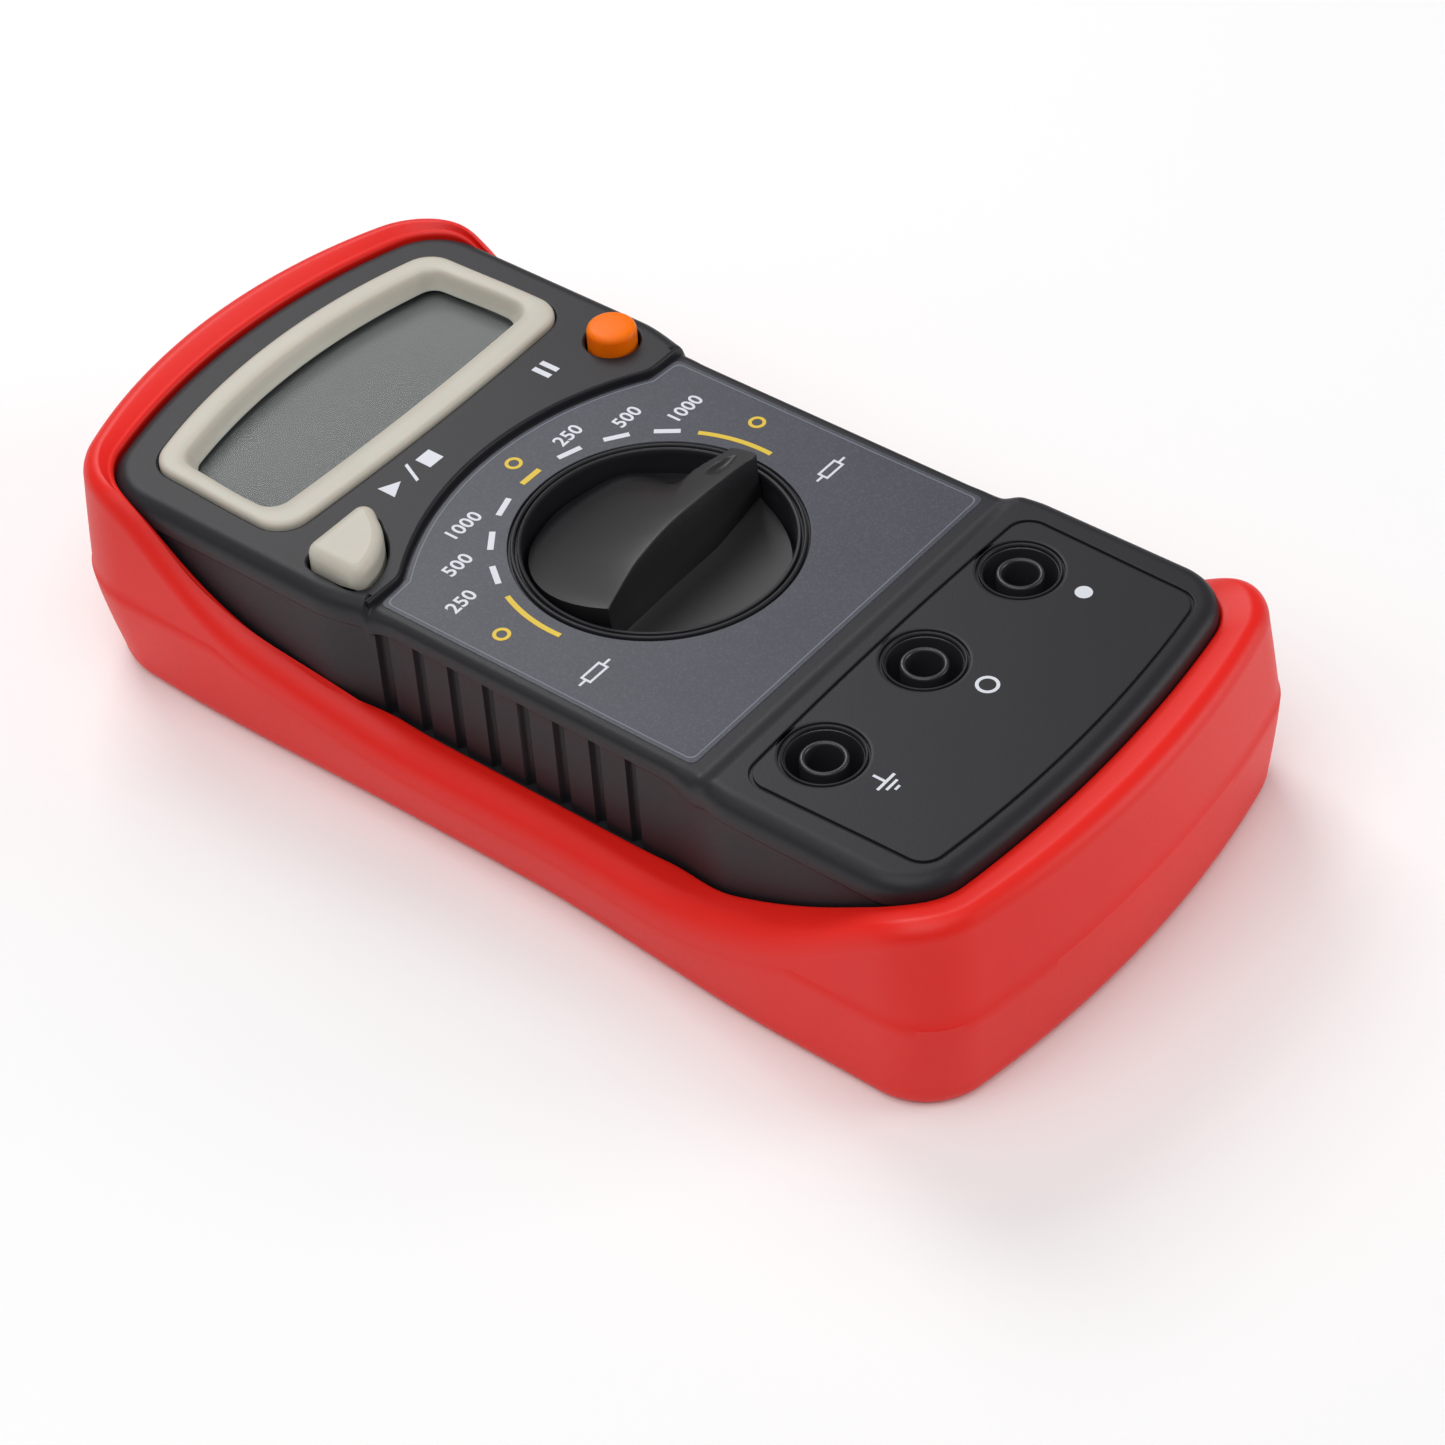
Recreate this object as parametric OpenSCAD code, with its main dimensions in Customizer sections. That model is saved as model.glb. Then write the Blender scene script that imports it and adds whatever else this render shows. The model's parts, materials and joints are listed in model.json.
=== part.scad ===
// Pocket insulation resistance tester in a rubber holster, lying on its back.
// Millimetres. +X is to the right of a reader, +Y towards the display end, +Z up out of the face.
// The origin is on the table, under the middle of the holster.

/* [Holster] */
// Overall length of the holster
body_length = 138; // [134:1:142]
// Overall width of the holster at the socket end
body_width = 69; // [68:0.5:72]
// Height of the widest line on the holster's side
crease_height = 13; // [10:0.5:14]
// Height of the holster's rim round the display end
rim_height = 27.6; // [26.6:0.1:28]
// Height of the holster's rim beside the dial
side_rim_height = 11.7; // [11.5:0.1:13]
// Height of the holster's rim round the socket end
socket_rim_height = 25.4; // [24.5:0.1:26.5]

/* [Case] */
// Height of the dial panel above the table
dial_face = 26.5; // [26:0.1:27]
// How far the display and socket zones stand above the dial panel
zone_step = 1; // [0.6:0.1:1.4]
// Thickness of the case walls
wall = 2; // [1.6:0.1:2.2]
// Height of the split between the two case halves
split_height = 11; // [10:0.5:12]
// Number of grip grooves in each side of the case
groove_count = 8; // [5:1:9]

/* [Dial] */
// Radius of the knob
knob_radius = 14.8; // [13.5:0.1:15]
// Height of the top of the knob above the table
knob_top = 31; // [30:0.1:32]
// Radius of the circle of scale marks
scale_radius = 18.8; // [18:0.1:20]

/* [Buttons] */
// Radius of the round hold button
hold_radius = 3; // [2.6:0.1:3.2]
// Travel of both buttons
button_travel = 1.2; // [0.6:0.1:1.2]

/* [Sockets] */
// Distance between neighbouring sockets
socket_pitch = 17.8; // [17:0.1:19]
// Radius of the socket bore for a 4 mm plug
socket_bore = 2.05; // [2.02:0.01:2.1]

/* [Stand] */
// Length of the tilt stand from hinge to foot
stand_length = 50; // [40:1:52]
// Width of the tilt stand
stand_width = 31; // [24:1:31]

/* [Hidden] */
$fn = 48;
front_face = dial_face + zone_step;
dial_y = -2;
socket_y = -38.8;
recess_radius = 15.4;
hinge_y = 22;
hinge_z = 2.2;
eps = 0.01;
// Heights and sizes of the holster's side, from the table up: it is widest at the crease
layer_z = [0, 1.4, 3.6, crease_height, rim_height - 2, rim_height];
layer_scale = [0.957, 0.977, 0.987, 1, 0.982, 0.962];

// ---------- outlines ----------

// Points of an arc, from angle a0 to angle a1
function arc(cx, cy, r, a0, a1, n) =
  [for (i = [0 : n]) let (a = a0 + (a1 - a0) * i / n) [cx + r * cos(a), cy + r * sin(a)]];

// Smooth change from 0 to 1
function ease(t) = t <= 0 ? 0 : t >= 1 ? 1 : t * t * (3 - 2 * t);

// Height of the rim at y: it climbs from the side to the display end, and more evenly to the socket end
function rim_at(y) = y > 0
  ? min(rim_height, side_rim_height + 0.18 * max(0, y - 12) + 0.0235 * pow(max(0, y - 32), 2))
  : min(socket_rim_height, side_rim_height + 0.024 * pow(max(0, -y - 22), 1.8));

// Half width at y between the display end, the waist and the socket end
function half_width(y, wd, ww, ws, y1, y2, y3, y4) =
  y > 0 ? ww + (wd - ww) * ease((y - y1) / (y2 - y1)) : ww + (ws - ww) * ease((y3 - y) / (y3 - y4));

// Height of a corner circle's centre inside an end arc of radius R that reaches y = top
function corner_y(top, R, w, rc) = top - R + sqrt(pow(R - rc, 2) - pow(w - rc, 2));

// Right half of a body outline, socket end first
function right_half(top, bottom, Rt, Rb, rt, rb, wd, ww, ws, y1, y2, y3, y4) =
  let (
    yt = corner_y(top, Rt, wd, rt),
    yb = -corner_y(-bottom, Rb, ws, rb),
    at = atan2(yt - (top - Rt), wd - rt),
    ab = atan2(-(yb - (bottom + Rb)), ws - rb)
  )
  concat(
    arc(0, bottom + Rb, Rb, -90, -ab, 6),
    arc(ws - rb, yb, rb, -ab + 1, 0, 8),
    [for (i = [1 : 21]) let (y = yb + (yt - yb) * i / 22) [half_width(y, wd, ww, ws, y1, y2, y3, y4), y]],
    arc(wd - rt, yt, rt, 0, at - 1, 8),
    arc(0, top - Rt, Rt, at, 90, 6)
  );

// Closes a right half into a full outline
function closed(half) =
  concat(half, [for (i = [len(half) - 2 : -1 : 1]) [-half[i][0], half[i][1]]]);

// Points of the holster's widest outline
function holster_points() = let (e = body_length / 2, w = body_width / 2)
  closed(right_half(e, -e, 68, 135, 12, 8.5, w - 1.6, w - 1.9, w, 4, 40, -6, -44));

// Solid holster block: the outline drawn smaller towards the table and the rim
module holster_block() {
  ring = holster_points();
  n = len(ring);
  m = len(layer_z);
  polyhedron(
    points = [for (j = [0 : m - 1]) for (p = ring) [p[0] * layer_scale[j], p[1] * layer_scale[j], layer_z[j]]],
    faces = concat(
      [[for (i = [0 : n - 1]) i]],
      [for (j = [0 : m - 2]) for (i = [0 : n - 1])
        [j * n + i, (j + 1) * n + i, (j + 1) * n + (i + 1) % n, j * n + (i + 1) % n]],
      [[for (i = [n - 1 : -1 : 0]) (m - 1) * n + i]]
    )
  );
}

// Case outline, g smaller all round
module case_outline(g = 0) {
  polygon(closed(right_half(62.6 - g, -62.2 + g, 78, 160, 8.5 - g, 7.5 - g,
    29.7 - g, 27.9 - g, 29.5 - g, 13, 24, -26, -32)));
}

// Outline of the display bezel, g smaller all round
module bezel_outline(g = 0) {
  polygon(closed(right_half(57.4 - g, 31.4 + g, 76, 400, 4 - g * 0.4, 4 - g * 0.4,
    24.5 - g, 24.9 - g, 24.9 - g, 37, 52, 29, 28)));
}

// Outline of the opening in the bezel, g smaller all round
module opening_outline(g = 0) {
  polygon(closed(right_half(53.2 - g, 36.2 + g, 76, 400, 2.2 - g * 0.4, 2.2 - g * 0.4,
    21.1 - g, 21.6 - g, 21.6 - g, 40, 50, 29, 28)));
}

// Outline of the dial panel, with an arched top edge
module dial_panel(g = 0) {
  difference() {
    union() {
      translate([-26.3 + g, -27.9 + g]) square([52.6 - 2 * g, 44.5 - 2 * g]);
      intersection() {
        translate([0, -16.8]) circle(r = 40 - g, $fn = 120);
        translate([-21.5, 10]) square([43, 20]);
      }
    }
    translate([0, dial_y]) circle(r = recess_radius + 1.6, $fn = 72);
  }
}

// Outline of the triangular test button, g smaller all round
module test_outline(g = 0) {
  polygon(concat(
    arc(-18.2, 25.9, 1.5 - g, -30, 90, 6),
    arc(-25, 25.7, 1.7 - g, 90, 180, 6),
    arc(-25, 20.7, 1.7 - g, 180, 262, 5),
    arc(-26.2, 28.6, 9.7 - g, 286, 332, 8)
  ));
}

// A box given by its corners
module box(x0, x1, y0, y1, z0, z1) {
  translate([x0, y0, z0]) cube([x1 - x0, y1 - y0, z1 - z0]);
}

// A tube with its axis along Z
module tube(r1, r2, z0, z1) {
  translate([0, 0, z0]) difference() {
    cylinder(r = r2, h = z1 - z0);
    translate([0, 0, -1]) cylinder(r = r1, h = z1 - z0 + 2);
  }
}

// Places of the four case screws
screw_spots = [[-22.6, -53.4], [22.6, -53.4], [-23.4, 9], [23.4, 9]];
// Places of the three board screws
board_spots = [[-21.5, -23.5], [21.5, -23.5], [0, 21.5]];
// Places of the three sockets
socket_spots = [[-socket_pitch, socket_y], [0, socket_y], [socket_pitch, socket_y]];

// ---------- shells ----------

module holster() {
  color([0.8, 0.16, 0.13])
  difference() {
    holster_block();
    translate([0, 0, 2]) linear_extrude(height = 40) case_outline(-0.05);
    // Side walls sweep down beside the dial
    rotate([90, 0, 90]) translate([0, 0, -50]) linear_extrude(height = 100)
      polygon(concat([[-75, 40], [52, 40]], [for (y = [52 : -1.5 : -23]) [y, rim_at(y)]],
        [for (y = [-25 : -1.5 : -58]) [y, rim_at(y)]], [[-75, socket_rim_height]]));
    // Window in the back for the stand
    translate([0, 0, -1]) linear_extrude(height = 4) {
      translate([-19, -33]) square([38, 60]);
      translate([-16, -36]) square([32, 66]);
      for (x = [-16, 16]) for (y = [-33, 27]) translate([x, y]) circle(r = 3);
    }
  }
}

// Solid body of the front half, before the hollows
module front_solid() {
  translate([0, 0, split_height]) linear_extrude(height = dial_face - split_height - 1.2) case_outline();
  translate([0, 0, dial_face - 1.2]) linear_extrude(height = 0.6) case_outline(0.25);
  translate([0, 0, dial_face - 0.6]) linear_extrude(height = 0.6) case_outline(0.7);
  // Raised display zone
  translate([0, 0, dial_face - eps]) linear_extrude(height = zone_step + eps) difference() {
    intersection() {
      case_outline(1.1);
      translate([-40, 17]) square([80, 60]);
    }
    translate([0, -16.8]) circle(r = 40.4, $fn = 120);
  }
  // Raised socket zone with a sloping edge
  intersection() {
    translate([0, 0, dial_face - eps]) linear_extrude(height = zone_step + eps) case_outline(1.1);
    rotate([90, 0, 90]) translate([0, 0, -40]) linear_extrude(height = 80)
      polygon([[-29, dial_face - 1], [-29, dial_face], [-31.6, front_face], [-80, front_face],
        [-80, dial_face - 1]]);
  }
}

module front_case() {
  color([0.27, 0.27, 0.29])
  difference() {
    union() {
      difference() {
        front_solid();
        // Hollow under each zone
        translate([0, 0, split_height - 1]) linear_extrude(height = dial_face - wall - split_height + 1)
          case_outline(wall);
      }
      // Well wall and floor under the knob
      translate([0, dial_y, 20]) cylinder(r = recess_radius + 1.5, h = dial_face - 21);
      // Collars round the sockets
      for (p = socket_spots) translate([p[0], p[1], 19]) cylinder(r = 5.3, h = 7);
      // Screw posts
      for (p = screw_spots) translate([p[0], p[1], split_height]) cylinder(r = 2.7, h = 14);
      for (p = board_spots) translate([p[0], p[1], 16.4]) cylinder(r = 2.3, h = 8.5);
    }
    // Knob well and shaft hole
    translate([0, dial_y, 21.3]) cylinder(r = recess_radius, h = 10);
    translate([0, dial_y, 19]) cylinder(r = 3.5, h = 5);
    // Fine groove round the knob well
    translate([0, dial_y, dial_face - 0.4]) tube(recess_radius + 0.6, recess_radius + 1, 0, 2);
    // Seat for the dial label
    translate([0, 0, dial_face - 0.3]) linear_extrude(height = 0.8) dial_panel(-0.05);
    // Socket wells, shallow ring and sleeve holes
    for (p = socket_spots) translate([p[0], p[1], 0]) {
      translate([0, 0, 20]) cylinder(r = 4.3, h = 10);
      translate([0, 0, 18]) cylinder(r = 2.75, h = 4);
      translate([0, 0, front_face - 0.35]) tube(4.65, 4.95, 0, 2);
    }
    // Groove round the socket zone
    translate([0, 0, front_face - 0.3]) linear_extrude(height = 1) difference() {
      socket_border(0);
      socket_border(0.35);
    }
    // Display opening and the rabbet under it
    translate([0, 0, front_face - 1.6]) linear_extrude(height = 3) bezel_outline(-0.05);
    translate([-23, 34.6, 22.5]) cube([46, 19.8, front_face - 24.05]);
    translate([0, 0, 22]) linear_extrude(height = 8) opening_outline(0);
    // Button holes
    translate([0, 0, 20]) linear_extrude(height = 12) test_outline(-0.35);
    translate([24, 24.4, 20]) cylinder(r = hold_radius + 0.35, h = 12);
    // Grip grooves
    for (i = [0 : groove_count - 1]) for (s = [-1, 1])
      translate([s * 28.2 - 0.8, 14.6 - 5.05 * i, split_height - 1]) cube([1.6, 1.5, 14.2]);
    // Screw holes
    for (p = screw_spots) translate([p[0], p[1], split_height - 1]) cylinder(r = 1.05, h = 11);
    for (p = board_spots) translate([p[0], p[1], 16]) cylinder(r = 0.85, h = 5.5);
  }
}

// Border line round the sockets
module socket_border(g) {
  polygon(closed(right_half(-33 - g, -59.6 + g, 600, 160, 3 - g, 3 - g,
    25.8 - g, 25.8 - g, 25.3 - g, 30, 40, -33, -58)));
}

module rear_case() {
  color([0.25, 0.25, 0.27])
  difference() {
    union() {
      difference() {
        union() {
          translate([0, 0, 2]) linear_extrude(height = 0.8) case_outline(0.8);
          translate([0, 0, 2.8]) linear_extrude(height = split_height - 2.8) case_outline();
        }
        translate([0, 0, 4.4]) linear_extrude(height = 20) case_outline(wall);
      }
      // Hinge ears and the thick floor above the hinge
      for (s = [-1, 1]) translate([s * 17.4 - 1.2, hinge_y - 2, 0.3]) cube([2.4, 4, 3]);
      translate([-19, hinge_y - 2.6, 4]) cube([38, 5, 1.6]);
      // Screw posts
      for (p = screw_spots) translate([p[0], p[1], 3]) cylinder(r = 3.1, h = split_height - 3);
      translate([0, 57, 3.9]) cylinder(r = 2.5, h = 5);
    }
    // Seat for the folded stand and its hinge trough
    translate([-stand_width / 2 - 0.5, hinge_y - stand_length - 1, 1]) cube([stand_width + 1, stand_length, 1.8]);
    translate([-stand_width / 2 - 0.5, hinge_y - 2, 1]) cube([stand_width + 1, 4, 3.1]);
    // Hinge pin bores, 0.06 mm clear of the pins
    translate([-18.3, hinge_y, hinge_z]) rotate([0, 90, 0]) cylinder(r = 1.26, h = 36.6);
    // Battery opening
    translate([-25, 27.8, 1]) cube([50, 26.7, 6]);
    translate([-5, 54, 1]) cube([10, 5.6, 2.9]);
    translate([0, 57, 1]) cylinder(r = 0.97, h = 6.5);
    // Screw holes with sunk heads
    for (p = screw_spots) translate([p[0], p[1], 1]) {
      cylinder(r = 1.5, h = 14);
      cylinder(r = 2.5, h = 5);
    }
  }
}

module battery_door() {
  color([0.25, 0.25, 0.27])
  difference() {
    union() {
      box(-24.8, 24.8, 28, 54.3, 2, 4.2);
      // Tongue that hooks inside the rear case
      box(-6, 6, 26.6, 28.4, 4.45, 5.6);
      box(-6, 6, 28, 28.4, 4.1, 5.6);
      // Tab for the screw
      box(-4.8, 4.8, 54.2, 59.4, 2, 3.8);
    }
    // Finger ridges
    for (i = [0 : 5]) box(-7, 7, 33 + i * 1.8, 33.9 + i * 1.8, 1.9, 2.4);
    translate([0, 57, 1]) cylinder(r = 1.2, h = 6);
    translate([0, 57, 1]) cylinder(r = 2.2, h = 2.1);
  }
}

module dial_label() {
  color([0.36, 0.38, 0.41])
  translate([0, 0, dial_face - 0.3]) linear_extrude(height = 0.35) dial_panel(0);
}

// ---------- display ----------

module lcd_bezel() {
  color([0.89, 0.86, 0.78])
  difference() {
    union() {
      translate([0, 0, front_face - 1.55]) linear_extrude(height = 1.75) bezel_outline(0);
      translate([0, 0, front_face + 0.15]) linear_extrude(height = 0.35) bezel_outline(0.5);
    }
    translate([0, 0, 20]) linear_extrude(height = 12) opening_outline(0.3);
    translate([0, 0, front_face - 0.6]) linear_extrude(height = 3) opening_outline(-0.4);
  }
}

module lcd_window() {
  color([0.75, 0.8, 0.78])
  box(-22.8, 22.8, 34.8, 54.2, 24.95, 25.85);
}

module lcd_glass() {
  color([0.55, 0.56, 0.55])
  box(-22.2, 22.2, 34.6, 54, 23.85, 24.85);
}

module lcd_holder() {
  color([0.85, 0.85, 0.83])
  difference() {
    box(-23.2, 23.2, 32, 55.2, 22.95, 24.4);
    box(-22.3, 22.3, 34.5, 54.1, 23.8, 26);
    box(-20.5, 20.5, 36.4, 50.4, 20, 26);
    box(-21, 21, 34.4, 36, 20, 26);
  }
}

module zebra_strips() {
  color([0.9, 0.5, 0.55])
  box(-20.8, 20.8, 34.6, 35.8, 22.9, 23.85);
}

module display_board() {
  color([0.1, 0.32, 0.18])
  box(-22.8, 22.8, 29.4, 54.4, 22.15, 22.9);
}

module display_ribbon() {
  color([0.8, 0.55, 0.2]) {
    box(-9, 9, 27.45, 27.6, 16.4, 23.05);
    box(-9, 9, 27.45, 31, 22.9, 23.05);
    box(-9, 9, 25.5, 27.6, 16.4, 16.55);
  }
}

// ---------- electronics ----------

module main_board() {
  color([0.1, 0.32, 0.18])
  difference() {
    translate([0, 0, 14.8]) linear_extrude(height = 1.6) polygon([[-25.4, -45], [-25.4, 27], [25.4, 27],
      [25.4, -45], [18.6, -49.2], [18.6, -57.6], [-18.6, -57.6], [-18.6, -49.2]]);
    for (p = screw_spots) translate([p[0], p[1], 12]) cylinder(r = 3.5, h = 6);
    for (p = board_spots) translate([p[0], p[1], 12]) cylinder(r = 1.1, h = 6);
    for (p = socket_spots) translate([p[0], p[1], 12]) cylinder(r = 2.65, h = 6);
    translate([0, dial_y, 12]) cylinder(r = 3.2, h = 6);
  }
}

module contact_tracks() {
  color([0.83, 0.62, 0.28])
  translate([0, dial_y, 0]) {
    tube(4.4, 5.4, 16.4, 16.45);
    tube(6.2, 7.2, 16.4, 16.45);
    // Split ring, one pad for each stop of the knob
    for (i = [0 : 10]) rotate(i * 18) translate([9.4, -0.9, 16.4]) cube([2.2, 1.8, 0.05]);
  }
}

module socket_sleeves() {
  color([0.3, 0.3, 0.32])
  for (p = socket_spots) translate([p[0], p[1], 0]) tube(socket_bore, 2.7, 19, front_face - 0.4);
}

module socket_contacts() {
  color([0.8, 0.6, 0.3])
  for (p = socket_spots) translate([p[0], p[1], 0]) {
    tube(socket_bore, 2.6, 7.6, 19);
    tube(2.5, 3.8, 16.4, 17);
    translate([0, 0, 6.8]) cylinder(r = 2.6, h = 0.9);
  }
}

module test_switch() {
  color([0.12, 0.12, 0.13])
  difference() {
    box(-25, -18.6, 19.4, 25.8, 16.4, 20.4);
    translate([-21.8, 22.6, 17.4]) cylinder(r = 1.9, h = 5);
  }
}

module hold_switch() {
  color([0.12, 0.12, 0.13])
  difference() {
    box(20.8, 25.2, 21.4, 26.8, 16.4, 20.4);
    translate([24, 24.4, 0]) translate([-1, -0.3, 17.4]) cylinder(r = 1.5, h = 5);
  }
}

module transformer_core() {
  color([0.2, 0.19, 0.19])
  difference() {
    box(-21, -7, -21, -9, 5.6, 14.8);
    box(-22, -6, -19, -16.9, 7, 12.9);
    box(-22, -6, -13.1, -11, 7, 12.9);
  }
}

module transformer_winding() {
  color([0.72, 0.4, 0.2])
  difference() {
    box(-22.6, -5.4, -18.8, -11.2, 7.2, 12.7);
    box(-21.1, -6.9, -17, -13, 6, 14);
  }
}

module boost_capacitors() {
  color([0.75, 0.35, 0.15]) {
    box(7, 19, -19.5, -14.5, 5.8, 14.8);
    box(7, 19, -12.5, -7.5, 5.8, 14.8);
  }
}

module filter_capacitor() {
  color([0.1, 0.12, 0.2])
  translate([-6, 14.4, 10.8]) rotate([0, 90, 0]) cylinder(r = 4, h = 13);
}

module converter_chip() {
  color([0.1, 0.1, 0.1])
  box(-9, 5, 2, 9, 12.6, 14.8);
}

module divider_resistors() {
  color([0.35, 0.5, 0.7])
  for (i = [0 : 3]) translate([-5.1 + i * 3.4, -24.5, 13.65]) rotate([90, 0, 0]) cylinder(r = 1.15, h = 7);
}

module trim_pot() {
  color([0.15, 0.3, 0.6])
  difference() {
    box(10, 16.5, 10, 16.5, 10.8, 14.8);
    translate([13.2, 13.2, 10]) cylinder(r = 1.4, h = 1.4);
  }
}

module battery() {
  color([0.15, 0.15, 0.16]) {
    box(-24, 20.6, 28.6, 54, 4.6, 21.6);
    translate([20.5, 35, 13.1]) rotate([0, 90, 0]) cylinder(r = 2.9, h = 1.9);
    translate([20.5, 47.6, 13.1]) rotate([0, 90, 0]) cylinder(r = 3.6, h = 1.9);
  }
}

module battery_snap() {
  color([0.08, 0.08, 0.09])
  difference() {
    box(20.8, 24.4, 29.4, 53.4, 7.6, 18.6);
    translate([20, 35, 13.1]) rotate([0, 90, 0]) cylinder(r = 3, h = 2.5);
    translate([20, 47.6, 13.1]) rotate([0, 90, 0]) cylinder(r = 3.7, h = 2.5);
  }
}

module battery_leads() {
  color([0.7, 0.1, 0.1])
  for (s = [0, 1]) {
    translate([24.95, 35 + s * 6, 12 - s * 2]) rotate([90, 0, 0]) cylinder(r = 0.55, h = 15 + s * 9);
    translate([24.95, 20 - s * 3, 11.6 - s * 2]) cylinder(r = 0.55, h = 3.2 + s * 2);
  }
}

// ---------- fasteners ----------

// Pan head screw pointing up, head underneath
module screw(x, y, z, head, head_h, shank, length) {
  translate([x, y, z]) {
    difference() {
      cylinder(r = head, h = head_h);
      translate([-head, -0.25, -0.1]) cube([head * 2, 0.5, head_h * 0.5]);
    }
    cylinder(r = shank, h = length);
  }
}

module case_screws() {
  color([0.7, 0.7, 0.72])
  for (p = screw_spots) screw(p[0], p[1], 4.6, 2.4, 1.4, 1.04, 14);
}

module board_screws() {
  color([0.7, 0.7, 0.72])
  for (p = board_spots) screw(p[0], p[1], 13.5, 1.9, 1.3, 0.84, 7);
}

module door_screw() {
  color([0.7, 0.7, 0.72])
  screw(0, 57, 2.05, 2.1, 1, 0.96, 5);
}

// ---------- knob ----------

module range_knob() {
  color([0.1, 0.1, 0.11])
  translate([0, dial_y, 0]) difference() {
    union() {
      translate([0, 0, 21.6]) cylinder(r = knob_radius, h = 2);
      translate([0, 0, 17.4]) cylinder(r = 3.44, h = 5);
      // Grip: steep on the reader's side, sloping away on the other
      intersection() {
        translate([0, 0, 22]) cylinder(r = knob_radius, h = 12);
        rotate([90, 0, 90]) translate([0, 0, -20]) linear_extrude(height = 40) polygon([
          [-4.5, 22], [-4.4, 23.6], [-3.4, knob_top - 0.8], [-2.6, knob_top], [0.5, knob_top - 0.9],
          [4, knob_top - 2.6], [8, 26.6], [12, 24.9], [15, 23.7], [15, 22]]);
      }
    }
    // Falling top towards the tail
    translate([-20, -20, 0]) rotate([90, 0, 0]) translate([0, 0, -40]) linear_extrude(height = 40)
      polygon([[0, 40], [0, knob_top - 4], [6, knob_top - 2.3], [13, knob_top - 0.5], [18, knob_top + 0.01],
        [24, knob_top + 0.01], [36, knob_top - 1.2], [36, 40]]);
    // Scooped side of the pointer
    translate([13.8, 9.9, 23.6]) cylinder(r = 8, h = 12);
    // Teardrop mark near the tip
    translate([11.2, -0.6, knob_top - 1.3]) cylinder(r = 0.8, h = 4);
    // Hole for the rotor screw
    translate([0, 0, 16]) cylinder(r = 1, h = 7);
  }
}

module switch_rotor() {
  color([0.85, 0.84, 0.8])
  translate([0, dial_y, 0]) difference() {
    cylinder_at(12, 17.4, 19.6);
    cylinder_at(3.46, 17, 20);
    for (s = [-1, 1]) translate([s * 8.5, 0, 0]) cylinder_at(1, 17.6, 20);
  }
}

// A cylinder between two heights
module cylinder_at(r, z0, z1) {
  translate([0, 0, z0]) cylinder(r = r, h = z1 - z0);
}

module wiper_contacts() {
  color([0.85, 0.65, 0.3])
  translate([0, dial_y, 0]) {
    box(4, 11.2, -1.6, -0.4, 17.1, 17.4);
    box(4, 11.2, 0.4, 1.6, 17.1, 17.4);
    for (x = [4.9, 6.7, 10.5]) for (y = [-1, 1]) translate([x, y, 0]) cylinder_at(0.3, 16.8, 17.2);
  }
}

module detent_balls() {
  color([0.75, 0.75, 0.77])
  for (s = [-1, 1]) translate([s * 8.5, dial_y, 18.8]) sphere(r = 0.9);
}

module detent_springs() {
  color([0.6, 0.6, 0.62])
  for (s = [-1, 1]) translate([s * 8.5, dial_y, 0]) tube(0.55, 0.85, 17.6, 18.05);
}

module rotor_screw() {
  color([0.7, 0.7, 0.72])
  screw(0, dial_y, 15.4, 2.6, 1.9, 0.98, 6);
}

// ---------- buttons ----------

module test_button() {
  color([0.9, 0.87, 0.79]) {
    translate([0, 0, 23.9]) linear_extrude(height = front_face - 23.9 + 1.2) test_outline(0);
    translate([0, 0, front_face + 1.1]) linear_extrude(height = 0.6) test_outline(0.6);
    // Flange that keeps the button in the case
    translate([0, 0, 23]) linear_extrude(height = 1) intersection() {
      test_outline(-0.9);
      translate([-26.6, 10]) square([20, 18.4]);
    }
    translate([-21.8, 22.6, 21.4]) cylinder(r = 1.5, h = 2);
  }
}

module test_plunger() {
  color([0.85, 0.85, 0.85])
  translate([-21.8, 22.6, 0]) cylinder_at(1.55, 19, 21.4);
}

module hold_button() {
  color([0.95, 0.45, 0.08])
  translate([24, 24.4, 0]) {
    cylinder_at(hold_radius, 23, front_face + 1.9);
    cylinder_at(hold_radius - 0.4, front_face + 1.8, front_face + 2.3);
    // Flange that keeps the button in the case
    difference() {
      cylinder_at(hold_radius + 0.8, 23, 24);
      box(2.7, 10, -10, 10, 20, 30);
    }
    translate([-1, -0.3, 0]) cylinder_at(1.1, 21.4, 23.2);
  }
}

module hold_plunger() {
  color([0.85, 0.85, 0.85])
  translate([23, 24.1, 0]) cylinder_at(1.15, 19, 21.4);
}

// ---------- stand ----------

module tilt_stand() {
  color([0.24, 0.24, 0.26])
  difference() {
    union() {
      box(-stand_width / 2, stand_width / 2, hinge_y - stand_length, hinge_y, 0.7, 2.4);
      translate([-stand_width / 2, hinge_y, hinge_z]) rotate([0, 90, 0]) cylinder(r = 1.5, h = stand_width);
      translate([-18, hinge_y, hinge_z]) rotate([0, 90, 0]) cylinder(r = 1.2, h = 36);
    }
    // Open middle of the bail
    box(-stand_width / 2 + 6, stand_width / 2 - 6, hinge_y - stand_length + 8, hinge_y - 8, -1, 4);
  }
}

holster();
front_case();
rear_case();
battery_door();
dial_label();
lcd_bezel();
lcd_window();
lcd_glass();
lcd_holder();
zebra_strips();
display_board();
display_ribbon();
main_board();
contact_tracks();
socket_sleeves();
socket_contacts();
range_knob();
switch_rotor();
wiper_contacts();
detent_balls();
detent_springs();
rotor_screw();
test_button();
test_plunger();
test_switch();
hold_button();
hold_plunger();
hold_switch();
battery();
battery_snap();
battery_leads();
transformer_core();
transformer_winding();
boost_capacitors();
filter_capacitor();
converter_chip();
divider_resistors();
trim_pot();
board_screws();
case_screws();
door_screw();
tilt_stand();
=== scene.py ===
import json
import math

import bpy
import numpy as np
from mathutils import Matrix, Vector
from mathutils.geometry import tessellate_polygon


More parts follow.
